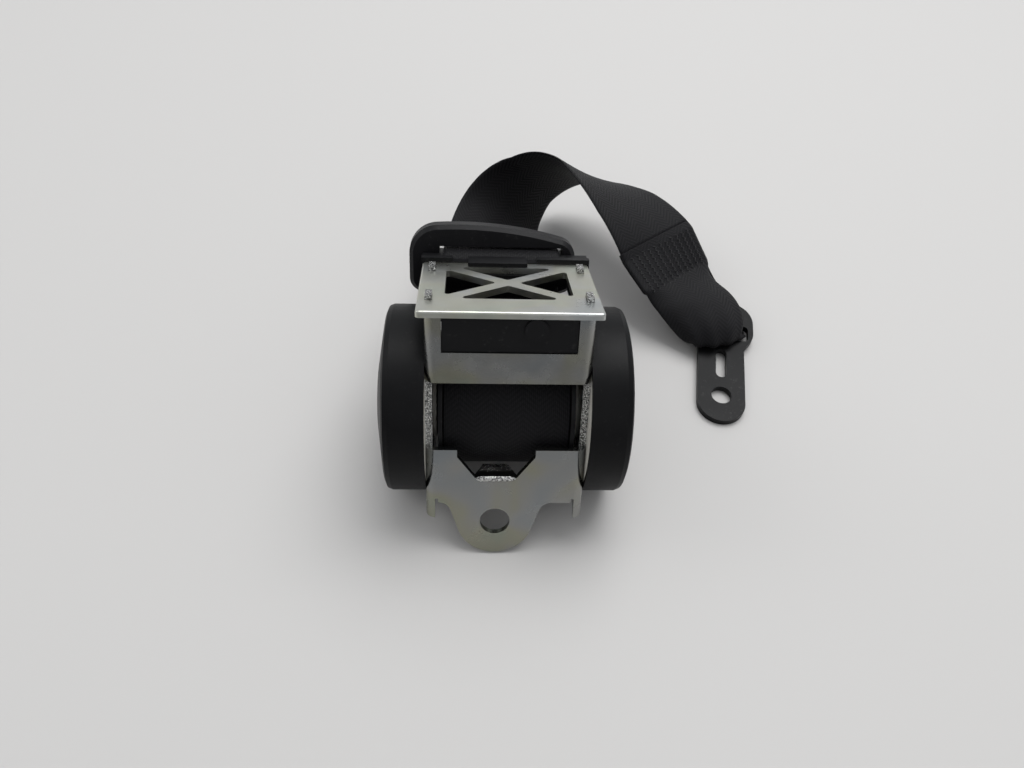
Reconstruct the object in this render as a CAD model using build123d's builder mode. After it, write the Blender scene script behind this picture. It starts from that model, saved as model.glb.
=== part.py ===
"""A rear seat belt with its inertia reel, taken off the car and lying on a table.

Sizes are millimetres. The origin is the centre of the reel's bolt hole, on the front
face of its plate; +X runs along the spool's axis and +Z up from the table. The reel has
axes of its own, which lean back with it: x across, y into its depth, z up its front
plate. Its pieces are drawn on planes that lean too: front(), side() and top().
"""

import os
from math import acos, atan2, cos, degrees, hypot, radians, sin, sqrt, tan

from build123d import *

os.makedirs("parts", exist_ok=True)

# Belt
web_width = 47.0
web_thickness = 1.2
fold_thickness = 2.6

# Across the frame: belt, spool flanges, bearing flanges and walls
sheet = 2.5
flange_thickness = 1.6
flange_side_gap = 0.2
bush_flange = 1.2
spool_play = 1.0
wall_inside = web_width / 2 + flange_side_gap + flange_thickness + spool_play + bush_flange
frame_width = 2 * (wall_inside + sheet)

# Where the spool's axis lies in the reel
spool_depth = 29.0
spool_height = 38.9

# Frame, one pressed steel channel
wall_behind_spool = 21.0
wall_depth = spool_depth + wall_behind_spool
frame_top = 84.1
outer_bend = 4.0
inner_bend = 1.5
window_bottom = 31.7
window_top = 59.2
window_depth = 3.4
upper_opening_edge = 6.0
upper_opening_width = frame_width - 2 * upper_opening_edge
upper_opening_bottom = 71.0
leg_bottom = 1.65
leg_width = 9.0
shoulder_height = 8.5
shoulder_edge = 3.5
shoulder_half_width = frame_width / 2 - shoulder_edge
relief_width = 1.2
wall_clear_radius = 33.0

# Bolt tab and the notch over it, both left of the frame's middle
bolt_offset = -3.6
bolt_hole_radius = 5.75
tab_radius = 14.6
tab_taper = 18.0
tab_fillet = 4.8
notch_half_width = 14.6
notch_side = 3.0
notch_floor_half_width = 7.9
notch_depth = 12.0
stop_tab_length = 10.0
stop_tab_tip = 9.5

# Tie plate staked on the walls' lugs
tie_overhang = 2.8
tie_width = frame_width + 2 * tie_overhang
tie_front = -0.5
tie_back = 3.0
tie_depth = wall_depth + tie_back - tie_front
tie_corner = 1.5
tie_edge_round = 0.9
cutout_edge = 9.6
cutout_half_width = tie_width / 2 - cutout_edge
cutout_back = 6.2
cutout_half_depth = 17.2
cutout_middle = tie_front + tie_depth - cutout_back - cutout_half_depth
arm_width = 5.0
cutout_corner = 1.2
lug_length = 6.0
lug_stake = 1.5
lug_middles = (13.5, 45.0)
lug_clearance = 0.1

# Spool, its bearings and what turns with it
core_radius = 10.0
roll_radius = 25.4
flange_radius = 26.3
journal_radius = 8.0
axle_radius = 4.0
running_gap = 0.05
bush_radius = 13.0
bush_flange_radius = 15.5
pocket_radius = 2.1
pocket_reach = 7.2
pocket_slot = 1.6
web_pin_radius = 1.3

# Covers
cover_radius = 36.5
cover_wall = 2.0
cover_depth = 15.5
cover_dome = 2.8
cover_corner = 2.5
cover_crown_radius = 17.0
base_thickness = 1.2
base_gap = 0.2
pin_angles = (60.0, 215.0, 310.0)
pin_circle = 27.0
pin_radius = 2.0
pin_head_radius = 2.9
pin_head = 0.8
post_radius = 3.6

# Rewind spring
spring_strip = 0.5
spring_height = 9.5
spring_turns = 6
arbor_radius = 6.5
spring_outer = 21.5

# Lock wheel, pawl and the fine toothed disc
teeth = 12
tooth_tip = 17.0
tooth_root = 14.3
tooth_face_lead = 1.5
wheel_thickness = 3.5
wheel_gap = 1.2
pawl_angle = 150.0
pawl_reach = 26.0
pawl_eye = 3.8
pawl_pin_radius = 2.0
pawl_lift = 12.0
pawl_tip_angle = 112.0
disc_teeth = 36
disc_radius = 16.5
disc_tooth = 1.1
disc_thickness = 1.8
disc_gap = 1.4

# Vehicle sensor
ball_radius = 4.5
bowl_radius = 16.5
seat_below_spool = 29.3
seat_thickness = 4.2
seat_top = spool_height - seat_below_spool
seat_bottom = seat_top - seat_thickness
seat_width = 19.0
seat_length = 10.6
bowl_depth = 1.6
ball_gap = 0.1
lever_thickness = 1.3
lever_gap = 0.35
lever_hub_radius = 2.2
lever_pin_radius = 1.0
lever_pivot_depth = spool_depth - 9.0
lever_length = 14.5
lever_beak = 2.8

# Web guide
guide_wall = 2.8
guide_gap = 0.2
ring_edge = 4.0
apron_thickness = 2.0
apron_face = 0.6
boss_radius = 4.7
boss_across = 9.2
boss_height = 79.7
boss_rise = 0.9
front_lip = 3.25
mouth_gap = 0.45
mouth_depth = tie_front + tie_depth + guide_gap + front_lip + mouth_gap + web_thickness / 2
mouth_half_width = web_width / 2 + 1.5
mouth_bottom = frame_top - 6.1
mouth_top = frame_top + 4.1
lip_step = 1.4
left_lip_length = 12.4
right_lip_length = 20.8
guide_half_width = tie_width / 2 + 0.6
hook_left = -14.9
hook_right = 8.3
hook_reach = 5.5
hook_thickness = 1.4

# Latch tongue
web_turn = 6.0
slot_height = frame_top + 3.9
tongue_gap = 0.7
tongue_front = mouth_depth + web_turn + tongue_gap
tongue_thickness = 8.0
tongue_left = -web_width / 2 - 15.5
tongue_right = web_width / 2 + 5.5
tongue_top = slot_height + 10.0
tongue_bottom = slot_height - 18.5
tongue_edge = 1.6
tongue_shoulder = 12.0
tongue_fall = 5.5
tongue_fall_width = 5.0
tongue_crest_share = 0.59
tongue_crest_drop = 0.9
tongue_low_corner = 6.0
blade_corner = 7.0
tongue_slot_width = web_width + 3.4
tongue_slot = 3.2
web_shift = -1.5
blade_thickness = 2.4
blade_width = 30.0
blade_length = 31.5
blade_buried = 9.5
blade_tip = tongue_bottom - blade_length
blade_bury = tongue_bottom + blade_buried
latch_width = 16.0
latch_length = 12.0
latch_below_body = 9.0

# Free end of the belt: length, bend and twist in degrees of each stretch, in order
free_stretches = (
    (14, 0, 0),
    (24, -24, 2),
    (25, 6, 6),
    (27, 50, 33),
    (28, 61, 37),
    (28, 60, 17),
    (29, 19, 25),
    (23, 18, 14),
)
folded_stretches = (
    (4, 3, 2),
    (25, -2, -8),
    (13, -12, 7),
    (12, -7, -13),
)
station_step = 7.0

# Anchor plate, from its bolt hole: u across it, t along it to the head
anchor_sheet = 3.0
anchor_x = 104.4
anchor_y = 70.3
anchor_turn = 9.3
anchor_tilt = 2.2
anchor_tip = 14.2
anchor_width = 21.6
anchor_hole_radius = 4.6
anchor_slot_start = 10.2
anchor_slot_end = 26.6
anchor_slot_width = 5.0
head_width = 31.0
head_start = 27.0
head_end = 57.0
head_corner = 12.0
head_fillet = 4.0
web_slot_width = 26.0
web_slot_start = 33.5
web_slot_end = 42.5
loop_gap = 0.3
gather_steps = 6

# The reel leans back until its bolt tab and the round backs of its covers both touch the table
tab_to_spool_height = spool_height + tab_radius
tab_to_spool_depth = spool_depth - sheet
lean = degrees(
    acos(cover_radius / hypot(tab_to_spool_height, tab_to_spool_depth))
    - atan2(tab_to_spool_depth, tab_to_spool_height)
)
across = Vector(1, 0, 0)
inward = Vector(0, cos(radians(lean)), -sin(radians(lean)))
upward = Vector(0, sin(radians(lean)), cos(radians(lean)))
table_height = -sheet * sin(radians(lean)) - tab_radius * cos(radians(lean))


def reel_point(x, y, z):
    """The place in the row of a point in the reel's own axes."""
    return across * (x - bolt_offset) + inward * y + upward * z


def front(y, x=0.0, z=0.0):
    """A plane across the reel's depth: its x runs across, its y up, its normal to the viewer."""
    return Plane(origin=reel_point(x, y, z), x_dir=across, z_dir=-inward)


def side(x, y=0.0, z=0.0):
    """A plane across the spool's axis: its x runs into the depth, its y up, its normal to +X."""
    return Plane(origin=reel_point(x, y, z), x_dir=inward, z_dir=across)


def top(z, x=0.0, y=0.0):
    """A plane across the reel's height: its x runs across, its y into the depth."""
    return Plane(origin=reel_point(x, y, z), x_dir=across, z_dir=upward)


def spool_side(x):
    """A side plane with its origin on the spool's axis."""
    return side(x, spool_depth, spool_height)


def round_point(radius, angle):
    """A point on a side plane by its distance from the plane's origin and its angle."""
    return (radius * cos(radians(angle)), radius * sin(radians(angle)))


half_width = frame_width / 2
inner_half = half_width - sheet
shank = frame_top - leg_bottom


# frame
def wall_arc(y):
    """The height where the walls' lower edge clears the covers, at depth y."""
    return spool_height - sqrt(wall_clear_radius**2 - (y - spool_depth) ** 2)


arc_start = leg_width + sheet
lug_top = frame_top + sheet + guide_gap + lug_stake
taper = radians(tab_taper)
neck_half_width = tab_radius * cos(taper) + (shoulder_height + tab_radius * sin(taper)) * tan(taper)
neck_room = shoulder_half_width - relief_width - abs(bolt_offset) - neck_half_width

with BuildPart() as frame:
    with BuildSketch(top(leg_bottom)):
        with Locations((0, wall_depth / 2)):
            channel = Rectangle(frame_width, wall_depth)
        fillet(channel.vertices().sort_by(Axis.Y)[:2], outer_bend)
        with Locations((0, sheet + wall_depth / 2 + inner_bend)):
            RectangleRounded(frame_width - 2 * sheet, wall_depth + 2 * inner_bend, inner_bend, mode=Mode.SUBTRACT)
    extrude(amount=shank)
    # The walls' outline seen from the side: leg, round lower edge and straight back
    with BuildSketch(side(-half_width)):
        with BuildLine():
            Polyline(
                (arc_start, wall_arc(arc_start)),
                (leg_width, leg_bottom),
                (0, leg_bottom),
                (0, frame_top),
                (wall_depth, frame_top),
                (wall_depth, wall_arc(wall_depth)),
            )
            ThreePointArc(
                (wall_depth, wall_arc(wall_depth)),
                (spool_depth, spool_height - wall_clear_radius),
                (arc_start, wall_arc(arc_start)),
            )
        make_face()
    extrude(amount=frame_width, mode=Mode.INTERSECT)
    # The window, cut through the bends as well, so that the walls show their sheared edges
    with BuildSketch(front(window_depth)):
        with Locations((0, (window_bottom + window_top) / 2)):
            Rectangle(frame_width + 2, window_top - window_bottom)
    extrude(amount=window_depth + 1, mode=Mode.SUBTRACT)
    # The opening that the web guide's apron closes
    with BuildSketch(front(sheet + inner_bend)):
        with Locations((0, (upper_opening_bottom + frame_top + 2) / 2)):
            Rectangle(upper_opening_width, frame_top + 2 - upper_opening_bottom)
    extrude(amount=sheet + inner_bend + 1, mode=Mode.SUBTRACT)
    # Below the shoulders only the legs and the bolt tab go on
    with BuildSketch(front(sheet + inner_bend)):
        with Locations((0, shoulder_height / 2)):
            Rectangle(2 * shoulder_half_width, shoulder_height)
        for turn in (-1, 1):
            with Locations((turn * (shoulder_half_width - relief_width / 2), shoulder_height)):
                SlotOverall(2 * relief_width + 1.2, relief_width, rotation=90)
    extrude(amount=sheet + inner_bend + 1, mode=Mode.SUBTRACT)
    # Bolt tab with its neck filleted into the plate
    with BuildSketch(front(sheet)) as tab_outline:
        with Locations((0, shoulder_height + sheet)):
            Rectangle(2 * (shoulder_half_width - relief_width), 2 * sheet)
        with BuildLine():
            Polyline(
                (bolt_offset - neck_half_width, shoulder_height),
                (bolt_offset - tab_radius * cos(taper), -tab_radius * sin(taper)),
                (bolt_offset + tab_radius * cos(taper), -tab_radius * sin(taper)),
                (bolt_offset + neck_half_width, shoulder_height),
                close=True,
            )
        make_face()
        with Locations((bolt_offset, 0)):
            Circle(tab_radius)
        neck = [
            corner
            for corner in tab_outline.vertices()
            if abs(corner.Y - shoulder_height) < 0.1 and abs(corner.X - bolt_offset) < neck_half_width + 0.1
        ]
        fillet(neck, min(tab_fillet, neck_room * tan(radians(45 + tab_taper / 2))))
    extrude(amount=sheet)
    # Notch in the plate's upper edge
    notch_floor = window_bottom - notch_depth
    with BuildSketch(front(sheet + inner_bend)):
        with BuildLine():
            Polyline(
                (bolt_offset - notch_half_width, window_bottom + 1),
                (bolt_offset - notch_half_width, window_bottom - notch_side),
                (bolt_offset - notch_floor_half_width, notch_floor),
                (bolt_offset + notch_floor_half_width, notch_floor),
                (bolt_offset + notch_half_width, window_bottom - notch_side),
                (bolt_offset + notch_half_width, window_bottom + 1),
                close=True,
            )
        make_face()
    extrude(amount=sheet + inner_bend + 1, mode=Mode.SUBTRACT)
    # Stop tab bent inwards from the notch's floor
    with BuildSketch(top(notch_floor - sheet)):
        with BuildLine():
            Polyline(
                (bolt_offset - notch_floor_half_width, 0),
                (bolt_offset + notch_floor_half_width, 0),
                (bolt_offset + notch_floor_half_width, sheet),
                (bolt_offset + stop_tab_tip / 2, stop_tab_length),
                (bolt_offset - stop_tab_tip / 2, stop_tab_length),
                (bolt_offset - notch_floor_half_width, sheet),
                close=True,
            )
        make_face()
    extrude(amount=sheet)
    # Bolt hole, bearing holes, pawl pin's hole and the cover pins' holes
    with BuildSketch(front(sheet)):
        with Locations((bolt_offset, 0)):
            Circle(bolt_hole_radius)
    extrude(amount=sheet, mode=Mode.SUBTRACT)
    with BuildSketch(spool_side(-half_width)):
        Circle(bush_radius)
        for angle in pin_angles:
            with Locations(round_point(pin_circle, angle)):
                Circle(pin_radius)
    extrude(amount=frame_width, mode=Mode.SUBTRACT)
    with BuildSketch(spool_side(inner_half - 1)):
        with Locations(round_point(pawl_reach, pawl_angle)):
            Circle(pawl_pin_radius)
    extrude(amount=sheet + 2, mode=Mode.SUBTRACT)
    # Lugs that are staked over the tie plate
    for turn in (-1, 1):
        for middle in lug_middles:
            with BuildSketch(top(frame_top - 1, turn * (half_width - sheet / 2), middle)):
                Rectangle(sheet, lug_length)
            extrude(amount=lug_top - frame_top + 1)
frame.part.label = "frame"
export_step(frame.part, "parts/frame.step")

# tie plate
with BuildPart() as tie_plate:
    with BuildSketch(top(frame_top, 0, tie_front + tie_depth / 2)) as tie_outline:
        Rectangle(tie_width, tie_depth)
        fillet(tie_outline.vertices(), tie_corner)
    extrude(amount=sheet)
    front_edge = tie_plate.edges().filter_by(Axis.X).group_by(SortBy.LENGTH)[-1]
    long_edges = [edge for edge in front_edge if (edge.center() - reel_point(0, 0, frame_top)).dot(inward) < 5]
    fillet([edge for edge in long_edges if (edge.center() - reel_point(0, 0, frame_top)).dot(upward) > 1],
           tie_edge_round)
    # Four triangles between a pair of crossing arms
    arm_rise = cutout_half_depth / cutout_half_width
    arm_shift_across = arm_width / 2 * hypot(1, arm_rise)
    arm_shift_along = arm_shift_across / arm_rise
    with BuildSketch(top(frame_top, 0, cutout_middle)) as triangles:
        for turn in (-1, 1):
            side_reach = cutout_half_depth - arm_shift_across
            with BuildLine():
                Polyline(
                    (turn * arm_shift_along, 0),
                    (turn * cutout_half_width, side_reach),
                    (turn * cutout_half_width, -side_reach),
                    close=True,
                )
            make_face()
            end_reach = cutout_half_width - arm_shift_along
            with BuildLine():
                Polyline(
                    (0, turn * arm_shift_across),
                    (end_reach, turn * cutout_half_depth),
                    (-end_reach, turn * cutout_half_depth),
                    close=True,
                )
            make_face()
        fillet(triangles.vertices(), cutout_corner)
    extrude(amount=sheet, mode=Mode.SUBTRACT)
    for turn in (-1, 1):
        for middle in lug_middles:
            with BuildSketch(top(frame_top, turn * (half_width - sheet / 2), middle)):
                Rectangle(sheet + 2 * lug_clearance, lug_length + 2 * lug_clearance)
            extrude(amount=sheet, mode=Mode.SUBTRACT)
tie_plate.part.label = "tie_plate"
export_step(tie_plate.part, "parts/tie_plate.step")

# web guide: front apron, ring under the tie plate, webbing mouth behind it and hook over it
ring_half = inner_half - guide_gap
ring_top = frame_top - guide_gap
mouth_front = mouth_depth - web_thickness / 2 - mouth_gap
mouth_back = mouth_depth + web_thickness / 2 + mouth_gap
lip_front = tie_front + tie_depth + guide_gap
back_lip_top = slot_height - web_thickness / 2 - mouth_gap
back_lip_depth = mouth_depth + web_turn
with BuildPart() as web_guide:
    with BuildSketch(front(apron_face + apron_thickness)):
        with Locations((0, (upper_opening_bottom + guide_gap + ring_top) / 2)):
            Rectangle(upper_opening_width - 2 * guide_gap, ring_top - upper_opening_bottom - guide_gap)
    extrude(amount=apron_thickness)
    with BuildSketch(front(apron_face)):
        with Locations((boss_across, boss_height)):
            Circle(boss_radius - 0.5)
    extrude(amount=boss_rise)
    with BuildSketch(top(ring_top - guide_wall)):
        ring_front = sheet + inner_bend + guide_gap
        with Locations((0, (ring_front + lip_front) / 2)):
            Rectangle(2 * ring_half, lip_front - ring_front)
        ring_hole_back = wall_depth - ring_edge
        with Locations((0, (ring_front + ring_edge + ring_hole_back) / 2)):
            Rectangle(2 * (ring_half - ring_edge), ring_hole_back - ring_front - ring_edge, mode=Mode.SUBTRACT)
    extrude(amount=guide_wall)
    with BuildSketch(front(ring_front + ring_edge)):
        with Locations((0, ring_top - guide_wall / 2)):
            Rectangle(upper_opening_width - 2 * guide_gap, guide_wall)
    extrude(amount=ring_front + ring_edge - apron_face)
    # The mouth: a block behind the walls with the slot through it
    with BuildSketch(side(-guide_half_width)):
        with BuildLine():
            Polyline(
                (wall_depth + guide_gap, mouth_bottom),
                (back_lip_depth, mouth_bottom),
                (back_lip_depth, back_lip_top),
                (mouth_back, back_lip_top),
                (mouth_back, mouth_top - lip_step),
                (lip_front, mouth_top - lip_step),
                (lip_front, ring_top),
                (wall_depth + guide_gap, ring_top),
                close=True,
            )
        make_face()
    extrude(amount=2 * guide_half_width)
    with BuildSketch(side(-guide_half_width)):
        with Locations(((lip_front + mouth_front) / 2, (mouth_top + ring_top) / 2)):
            Rectangle(mouth_front - lip_front, mouth_top - ring_top)
    extrude(amount=left_lip_length)
    with BuildSketch(side(guide_half_width - right_lip_length)):
        with Locations(((lip_front + mouth_front) / 2, (mouth_top + ring_top) / 2)):
            Rectangle(mouth_front - lip_front, mouth_top - ring_top)
    extrude(amount=right_lip_length)
    with BuildSketch(top(mouth_bottom)):
        with Locations((0, (mouth_front + mouth_back) / 2)):
            Rectangle(2 * mouth_half_width, mouth_back - mouth_front)
    extrude(amount=mouth_top, mode=Mode.SUBTRACT)
    # The back lip is rounded where the webbing bends over it
    lip_round = back_lip_depth - mouth_back
    with BuildSketch(side(-mouth_half_width)):
        with BuildLine():
            Polyline(
                (mouth_back - 1, back_lip_top - lip_round),
                (mouth_back - 1, back_lip_top + 2),
                (back_lip_depth, back_lip_top + 2),
                (back_lip_depth, back_lip_top),
            )
            Line((mouth_back - 1, back_lip_top - lip_round), (mouth_back, back_lip_top - lip_round))
            RadiusArc((mouth_back, back_lip_top - lip_round), (back_lip_depth, back_lip_top), lip_round)
        make_face()
    extrude(amount=2 * mouth_half_width, mode=Mode.SUBTRACT)
    # Hook over the tie plate's back edge
    with BuildSketch(side(hook_left)):
        hook_low = frame_top + sheet + guide_gap / 2
        with BuildLine():
            Polyline(
                (lip_front - hook_reach, hook_low),
                (mouth_front, hook_low),
                (mouth_front, hook_low + hook_thickness),
                (lip_front - hook_reach, hook_low + hook_thickness),
                close=True,
            )
        make_face()
    extrude(amount=hook_right - hook_left)
web_guide.part.label = "web_guide"
export_step(web_guide.part, "parts/web_guide.step")

# bearing bushes, pressed into the walls with their flanges inside
for name, turn in (("bearing_bush_left", -1), ("bearing_bush_right", 1)):
    with BuildPart() as bearing_bush:
        with BuildSketch(spool_side(turn * half_width)):
            Circle(bush_radius)
        extrude(amount=-turn * sheet)
        with BuildSketch(spool_side(turn * inner_half)):
            Circle(bush_flange_radius)
        extrude(amount=-turn * bush_flange)
        with BuildSketch(spool_side(turn * half_width)):
            Circle(journal_radius + running_gap)
        extrude(amount=-turn * (sheet + bush_flange), mode=Mode.SUBTRACT)
    bearing_bush.part.label = name
    export_step(bearing_bush.part, f"parts/{name}.step")

# spool
flange_inner = web_width / 2 + flange_side_gap
flange_outer = flange_inner + flange_thickness
journal_end = half_width + base_thickness / 2
with BuildPart() as spool:
    with BuildSketch(spool_side(-flange_outer)):
        Circle(core_radius)
    extrude(amount=2 * flange_outer)
    for turn in (-1, 1):
        with BuildSketch(spool_side(turn * flange_inner)):
            Circle(flange_radius)
        extrude(amount=turn * flange_thickness)
        with BuildSketch(spool_side(turn * flange_outer)):
            Circle(journal_radius)
        extrude(amount=turn * (journal_end - flange_outer))
    with BuildSketch(spool_side(-journal_end)):
        Circle(axle_radius)
    extrude(amount=2 * journal_end, mode=Mode.SUBTRACT)
    # Pocket for the belt's end loop, open to the core's surface by a slot
    with BuildSketch(spool_side(-flange_inner)):
        with Locations((pocket_reach, 0)):
            Circle(pocket_radius)
        with Locations(((pocket_reach + core_radius + 1) / 2, 0)):
            Rectangle(core_radius + 1 - pocket_reach, pocket_slot)
    extrude(amount=2 * flange_inner, mode=Mode.SUBTRACT)
spool.part.label = "spool"
export_step(spool.part, "parts/spool.step")

with BuildPart() as webbing_pin:
    with BuildSketch(side(-flange_inner + 1, spool_depth + pocket_reach, spool_height)):
        Circle(web_pin_radius)
    extrude(amount=2 * flange_inner - 2)
webbing_pin.part.label = "webbing_pin"
export_step(webbing_pin.part, "parts/webbing_pin.step")

with BuildPart() as webbing_roll:
    with BuildSketch(spool_side(-web_width / 2)):
        Circle(roll_radius)
        Circle(core_radius, mode=Mode.SUBTRACT)
    extrude(amount=web_width)
webbing_roll.part.label = "webbing_roll"
export_step(webbing_roll.part, "parts/webbing_roll.step")

# axle, a torsion bar through spool, arbor, lock wheel and disc
wheel_side = half_width + wheel_gap
disc_side = wheel_side + wheel_thickness + disc_gap
axle_left = -(half_width + cover_depth - cover_wall - 0.3)
axle_right = disc_side + disc_thickness + 2.0
with BuildPart() as axle:
    with BuildSketch(spool_side(axle_left)):
        Circle(axle_radius)
    extrude(amount=axle_right - axle_left)
    chamfer(axle.edges().filter_by(GeomType.CIRCLE), 0.6)
axle.part.label = "axle"
export_step(axle.part, "parts/axle.step")

# covers, their base plates and press pins
def cover_outline(turn, shrink):
    """Half outline of a cover, from the spool's axis outwards, shrunk for its inside."""
    rim = turn * half_width
    radius = cover_radius - shrink
    end = turn * (half_width + cover_depth - shrink)
    crown = end + turn * cover_dome
    flat = radius - cover_corner
    bevel = cover_corner * (1 - sqrt(0.5))
    Polyline(
        (crown, 0),
        (rim, 0),
        (rim, radius),
        (end - turn * cover_corner, radius),
        (end - turn * bevel, radius - bevel),
        (end, flat),
        (crown, cover_crown_radius),
        close=True,
    )


post_length = cover_depth - base_thickness - base_gap
cover_plane = Plane(origin=reel_point(0, spool_depth, spool_height), x_dir=across, z_dir=-inward)
for name, turn in (("spring_cover", -1), ("sensor_cover", 1)):
    with BuildPart() as cover:
        for shrink, mode in ((0.0, Mode.ADD), (cover_wall, Mode.SUBTRACT)):
            with BuildSketch(cover_plane):
                with BuildLine():
                    cover_outline(turn, shrink)
                make_face()
            revolve(axis=Axis(cover_plane.origin, across), mode=mode)
        for angle in pin_angles:
            y, z = round_point(pin_circle, angle)
            with BuildSketch(side(turn * (half_width + base_thickness + base_gap), spool_depth + y, spool_height + z)):
                Circle(post_radius)
            extrude(amount=turn * post_length)
            with BuildSketch(side(turn * half_width, spool_depth + y, spool_height + z)):
                Circle(pin_radius)
            extrude(amount=turn * (cover_depth - 3), mode=Mode.SUBTRACT)
    cover.part.label = name
    export_step(cover.part, f"parts/{name}.step")

for name, turn in (("spring_cover_pins", -1), ("sensor_cover_pins", 1)):
    with BuildPart() as cover_pins:
        for angle in pin_angles:
            y, z = round_point(pin_circle, angle)
            head_side = side(turn * (inner_half - pin_head), spool_depth + y, spool_height + z)
            with BuildSketch(head_side):
                Circle(pin_head_radius)
            extrude(amount=turn * pin_head)
            with BuildSketch(head_side):
                Circle(pin_radius)
            extrude(amount=turn * (pin_head + sheet + cover_depth - 4))
    cover_pins.part.label = name
    export_step(cover_pins.part, f"parts/{name}.step")

base_radius = cover_radius - cover_wall - base_gap
with BuildPart() as spring_base:
    with BuildSketch(spool_side(-half_width)):
        Circle(base_radius)
        Circle(bush_radius - 0.5, mode=Mode.SUBTRACT)
        for angle in pin_angles:
            with Locations(round_point(pin_circle, angle)):
                Circle(pin_radius, mode=Mode.SUBTRACT)
    extrude(amount=-base_thickness)
    # Post that holds the spring's outer end
    with BuildSketch(spool_side(-half_width)):
        with Locations(round_point(spring_outer + 3.2, 0)):
            Rectangle(3.0, 6.0)
    extrude(amount=-(base_thickness + 0.8 + spring_height))
spring_base.part.label = "spring_base"
export_step(spring_base.part, "parts/spring_base.step")

# rewind spring: a spiral strip from the arbor to the post
spring_side = -(half_width + base_thickness + 0.8)
spring_inner = arbor_radius + spring_strip / 2 + 0.1
spring_end = spring_outer + 1.4
half_turns = 2 * spring_turns
turn_growth = (spring_end - spring_inner) / half_turns


def spiral(edge):
    """Half circles that grow about two near centres, along one edge of the strip."""
    for step in range(half_turns):
        sign = 1 if step % 2 == 0 else -1
        start = spring_inner + turn_growth * step + edge
        finish = start + turn_growth
        middle = (start + finish) / 2
        shift = sign * (start - finish) / 2
        ThreePointArc((sign * start, 0), (shift, sign * middle), (-sign * finish, 0))


with BuildPart() as return_spring:
    with BuildSketch(spool_side(spring_side)):
        with BuildLine():
            for edge in (-spring_strip / 2, spring_strip / 2):
                spiral(edge)
            for start in (spring_inner, spring_end):
                Line((start - spring_strip / 2, 0), (start + spring_strip / 2, 0))
        make_face()
    extrude(amount=-spring_height)
return_spring.part.label = "return_spring"
export_step(return_spring.part, "parts/return_spring.step")

with BuildPart() as spring_arbor:
    with BuildSketch(spool_side(-journal_end)):
        Circle(arbor_radius)
        Circle(axle_radius, mode=Mode.SUBTRACT)
    extrude(amount=-(abs(axle_left) - journal_end - 0.4))
spring_arbor.part.label = "spring_arbor"
export_step(spring_arbor.part, "parts/spring_arbor.step")

# lock wheel: each tooth has a steep face towards the unwinding turn
pitch = 360 / teeth
face_angle = pawl_tip_angle - tooth_face_lead - 0.6


def saw_teeth(count, tip, root, lead, first):
    """Corner points of a saw toothed disc, steep faces at first, first + pitch and so on."""
    points = []
    for tooth in range(count):
        angle = first + 360 * tooth / count
        points.append(round_point(tip, angle))
        points.append(round_point(root, angle + lead))
    return points


with BuildPart() as ratchet_wheel:
    with BuildSketch(spool_side(wheel_side)):
        with BuildLine():
            Polyline(*saw_teeth(teeth, tooth_tip, tooth_root, tooth_face_lead, face_angle), close=True)
        make_face()
        Circle(axle_radius, mode=Mode.SUBTRACT)
    extrude(amount=wheel_thickness)
ratchet_wheel.part.label = "ratchet_wheel"
export_step(ratchet_wheel.part, "parts/ratchet_wheel.step")

with BuildPart() as control_disc:
    with BuildSketch(spool_side(disc_side)):
        with BuildLine():
            Polyline(*saw_teeth(disc_teeth, disc_radius, disc_radius - disc_tooth, 1.0, 0), close=True)
        make_face()
        Circle(axle_radius, mode=Mode.SUBTRACT)
    extrude(amount=disc_thickness)
    with BuildSketch(spool_side(wheel_side + wheel_thickness)):
        Circle(axle_radius + 2.4)
        Circle(axle_radius, mode=Mode.SUBTRACT)
    extrude(amount=disc_gap)
control_disc.part.label = "control_disc"
export_step(control_disc.part, "parts/control_disc.step")

# pawl, drawn as it stands in a tooth and turned back about its pin to its rest
pawl_y, pawl_z = round_point(pawl_reach, pawl_angle)
pawl_turn = Location((0, 0, 0), (0, 0, pawl_lift))
pawl_plane = side(wheel_side + 0.3, spool_depth + pawl_y, spool_height + pawl_z)


def from_pawl(radius, angle):
    """A point round the spool, measured from the pawl's pin."""
    y, z = round_point(radius, angle)
    return (y - pawl_y, z - pawl_z)


with BuildPart() as locking_pawl:
    with BuildSketch(pawl_plane * pawl_turn):
        Circle(pawl_eye)
        with BuildLine():
            tip_low = from_pawl(tooth_tip - 2.0, pawl_tip_angle)
            tip_high = from_pawl(tooth_tip + 1.8, pawl_tip_angle - 0.6)
            Polyline(
                (0.6, -pawl_eye + 0.1),
                tip_low,
                tip_high,
                (1.2, pawl_eye - 0.2),
                close=True,
            )
        make_face()
        Circle(pawl_pin_radius + running_gap, mode=Mode.SUBTRACT)
    extrude(amount=wheel_thickness - 0.6)
locking_pawl.part.label = "locking_pawl"
export_step(locking_pawl.part, "parts/locking_pawl.step")

with BuildPart() as pawl_pin:
    with BuildSketch(side(inner_half, spool_depth + pawl_y, spool_height + pawl_z)):
        Circle(pawl_pin_radius)
    extrude(amount=sheet + wheel_gap + wheel_thickness + 0.8)
pawl_pin.part.label = "pawl_pin"
export_step(pawl_pin.part, "parts/pawl_pin.step")

# base plate of the lock mechanism
with BuildPart() as sensor_base:
    with BuildSketch(spool_side(half_width)):
        Circle(base_radius)
        Circle(bush_radius - 0.5, mode=Mode.SUBTRACT)
        for angle in pin_angles:
            with Locations(round_point(pin_circle, angle)):
                Circle(pin_radius, mode=Mode.SUBTRACT)
        with Locations(round_point(pawl_reach, pawl_angle)):
            Circle(pawl_pin_radius, mode=Mode.SUBTRACT)
    extrude(amount=base_thickness)
sensor_base.part.label = "sensor_base"
export_step(sensor_base.part, "parts/sensor_base.step")

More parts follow.
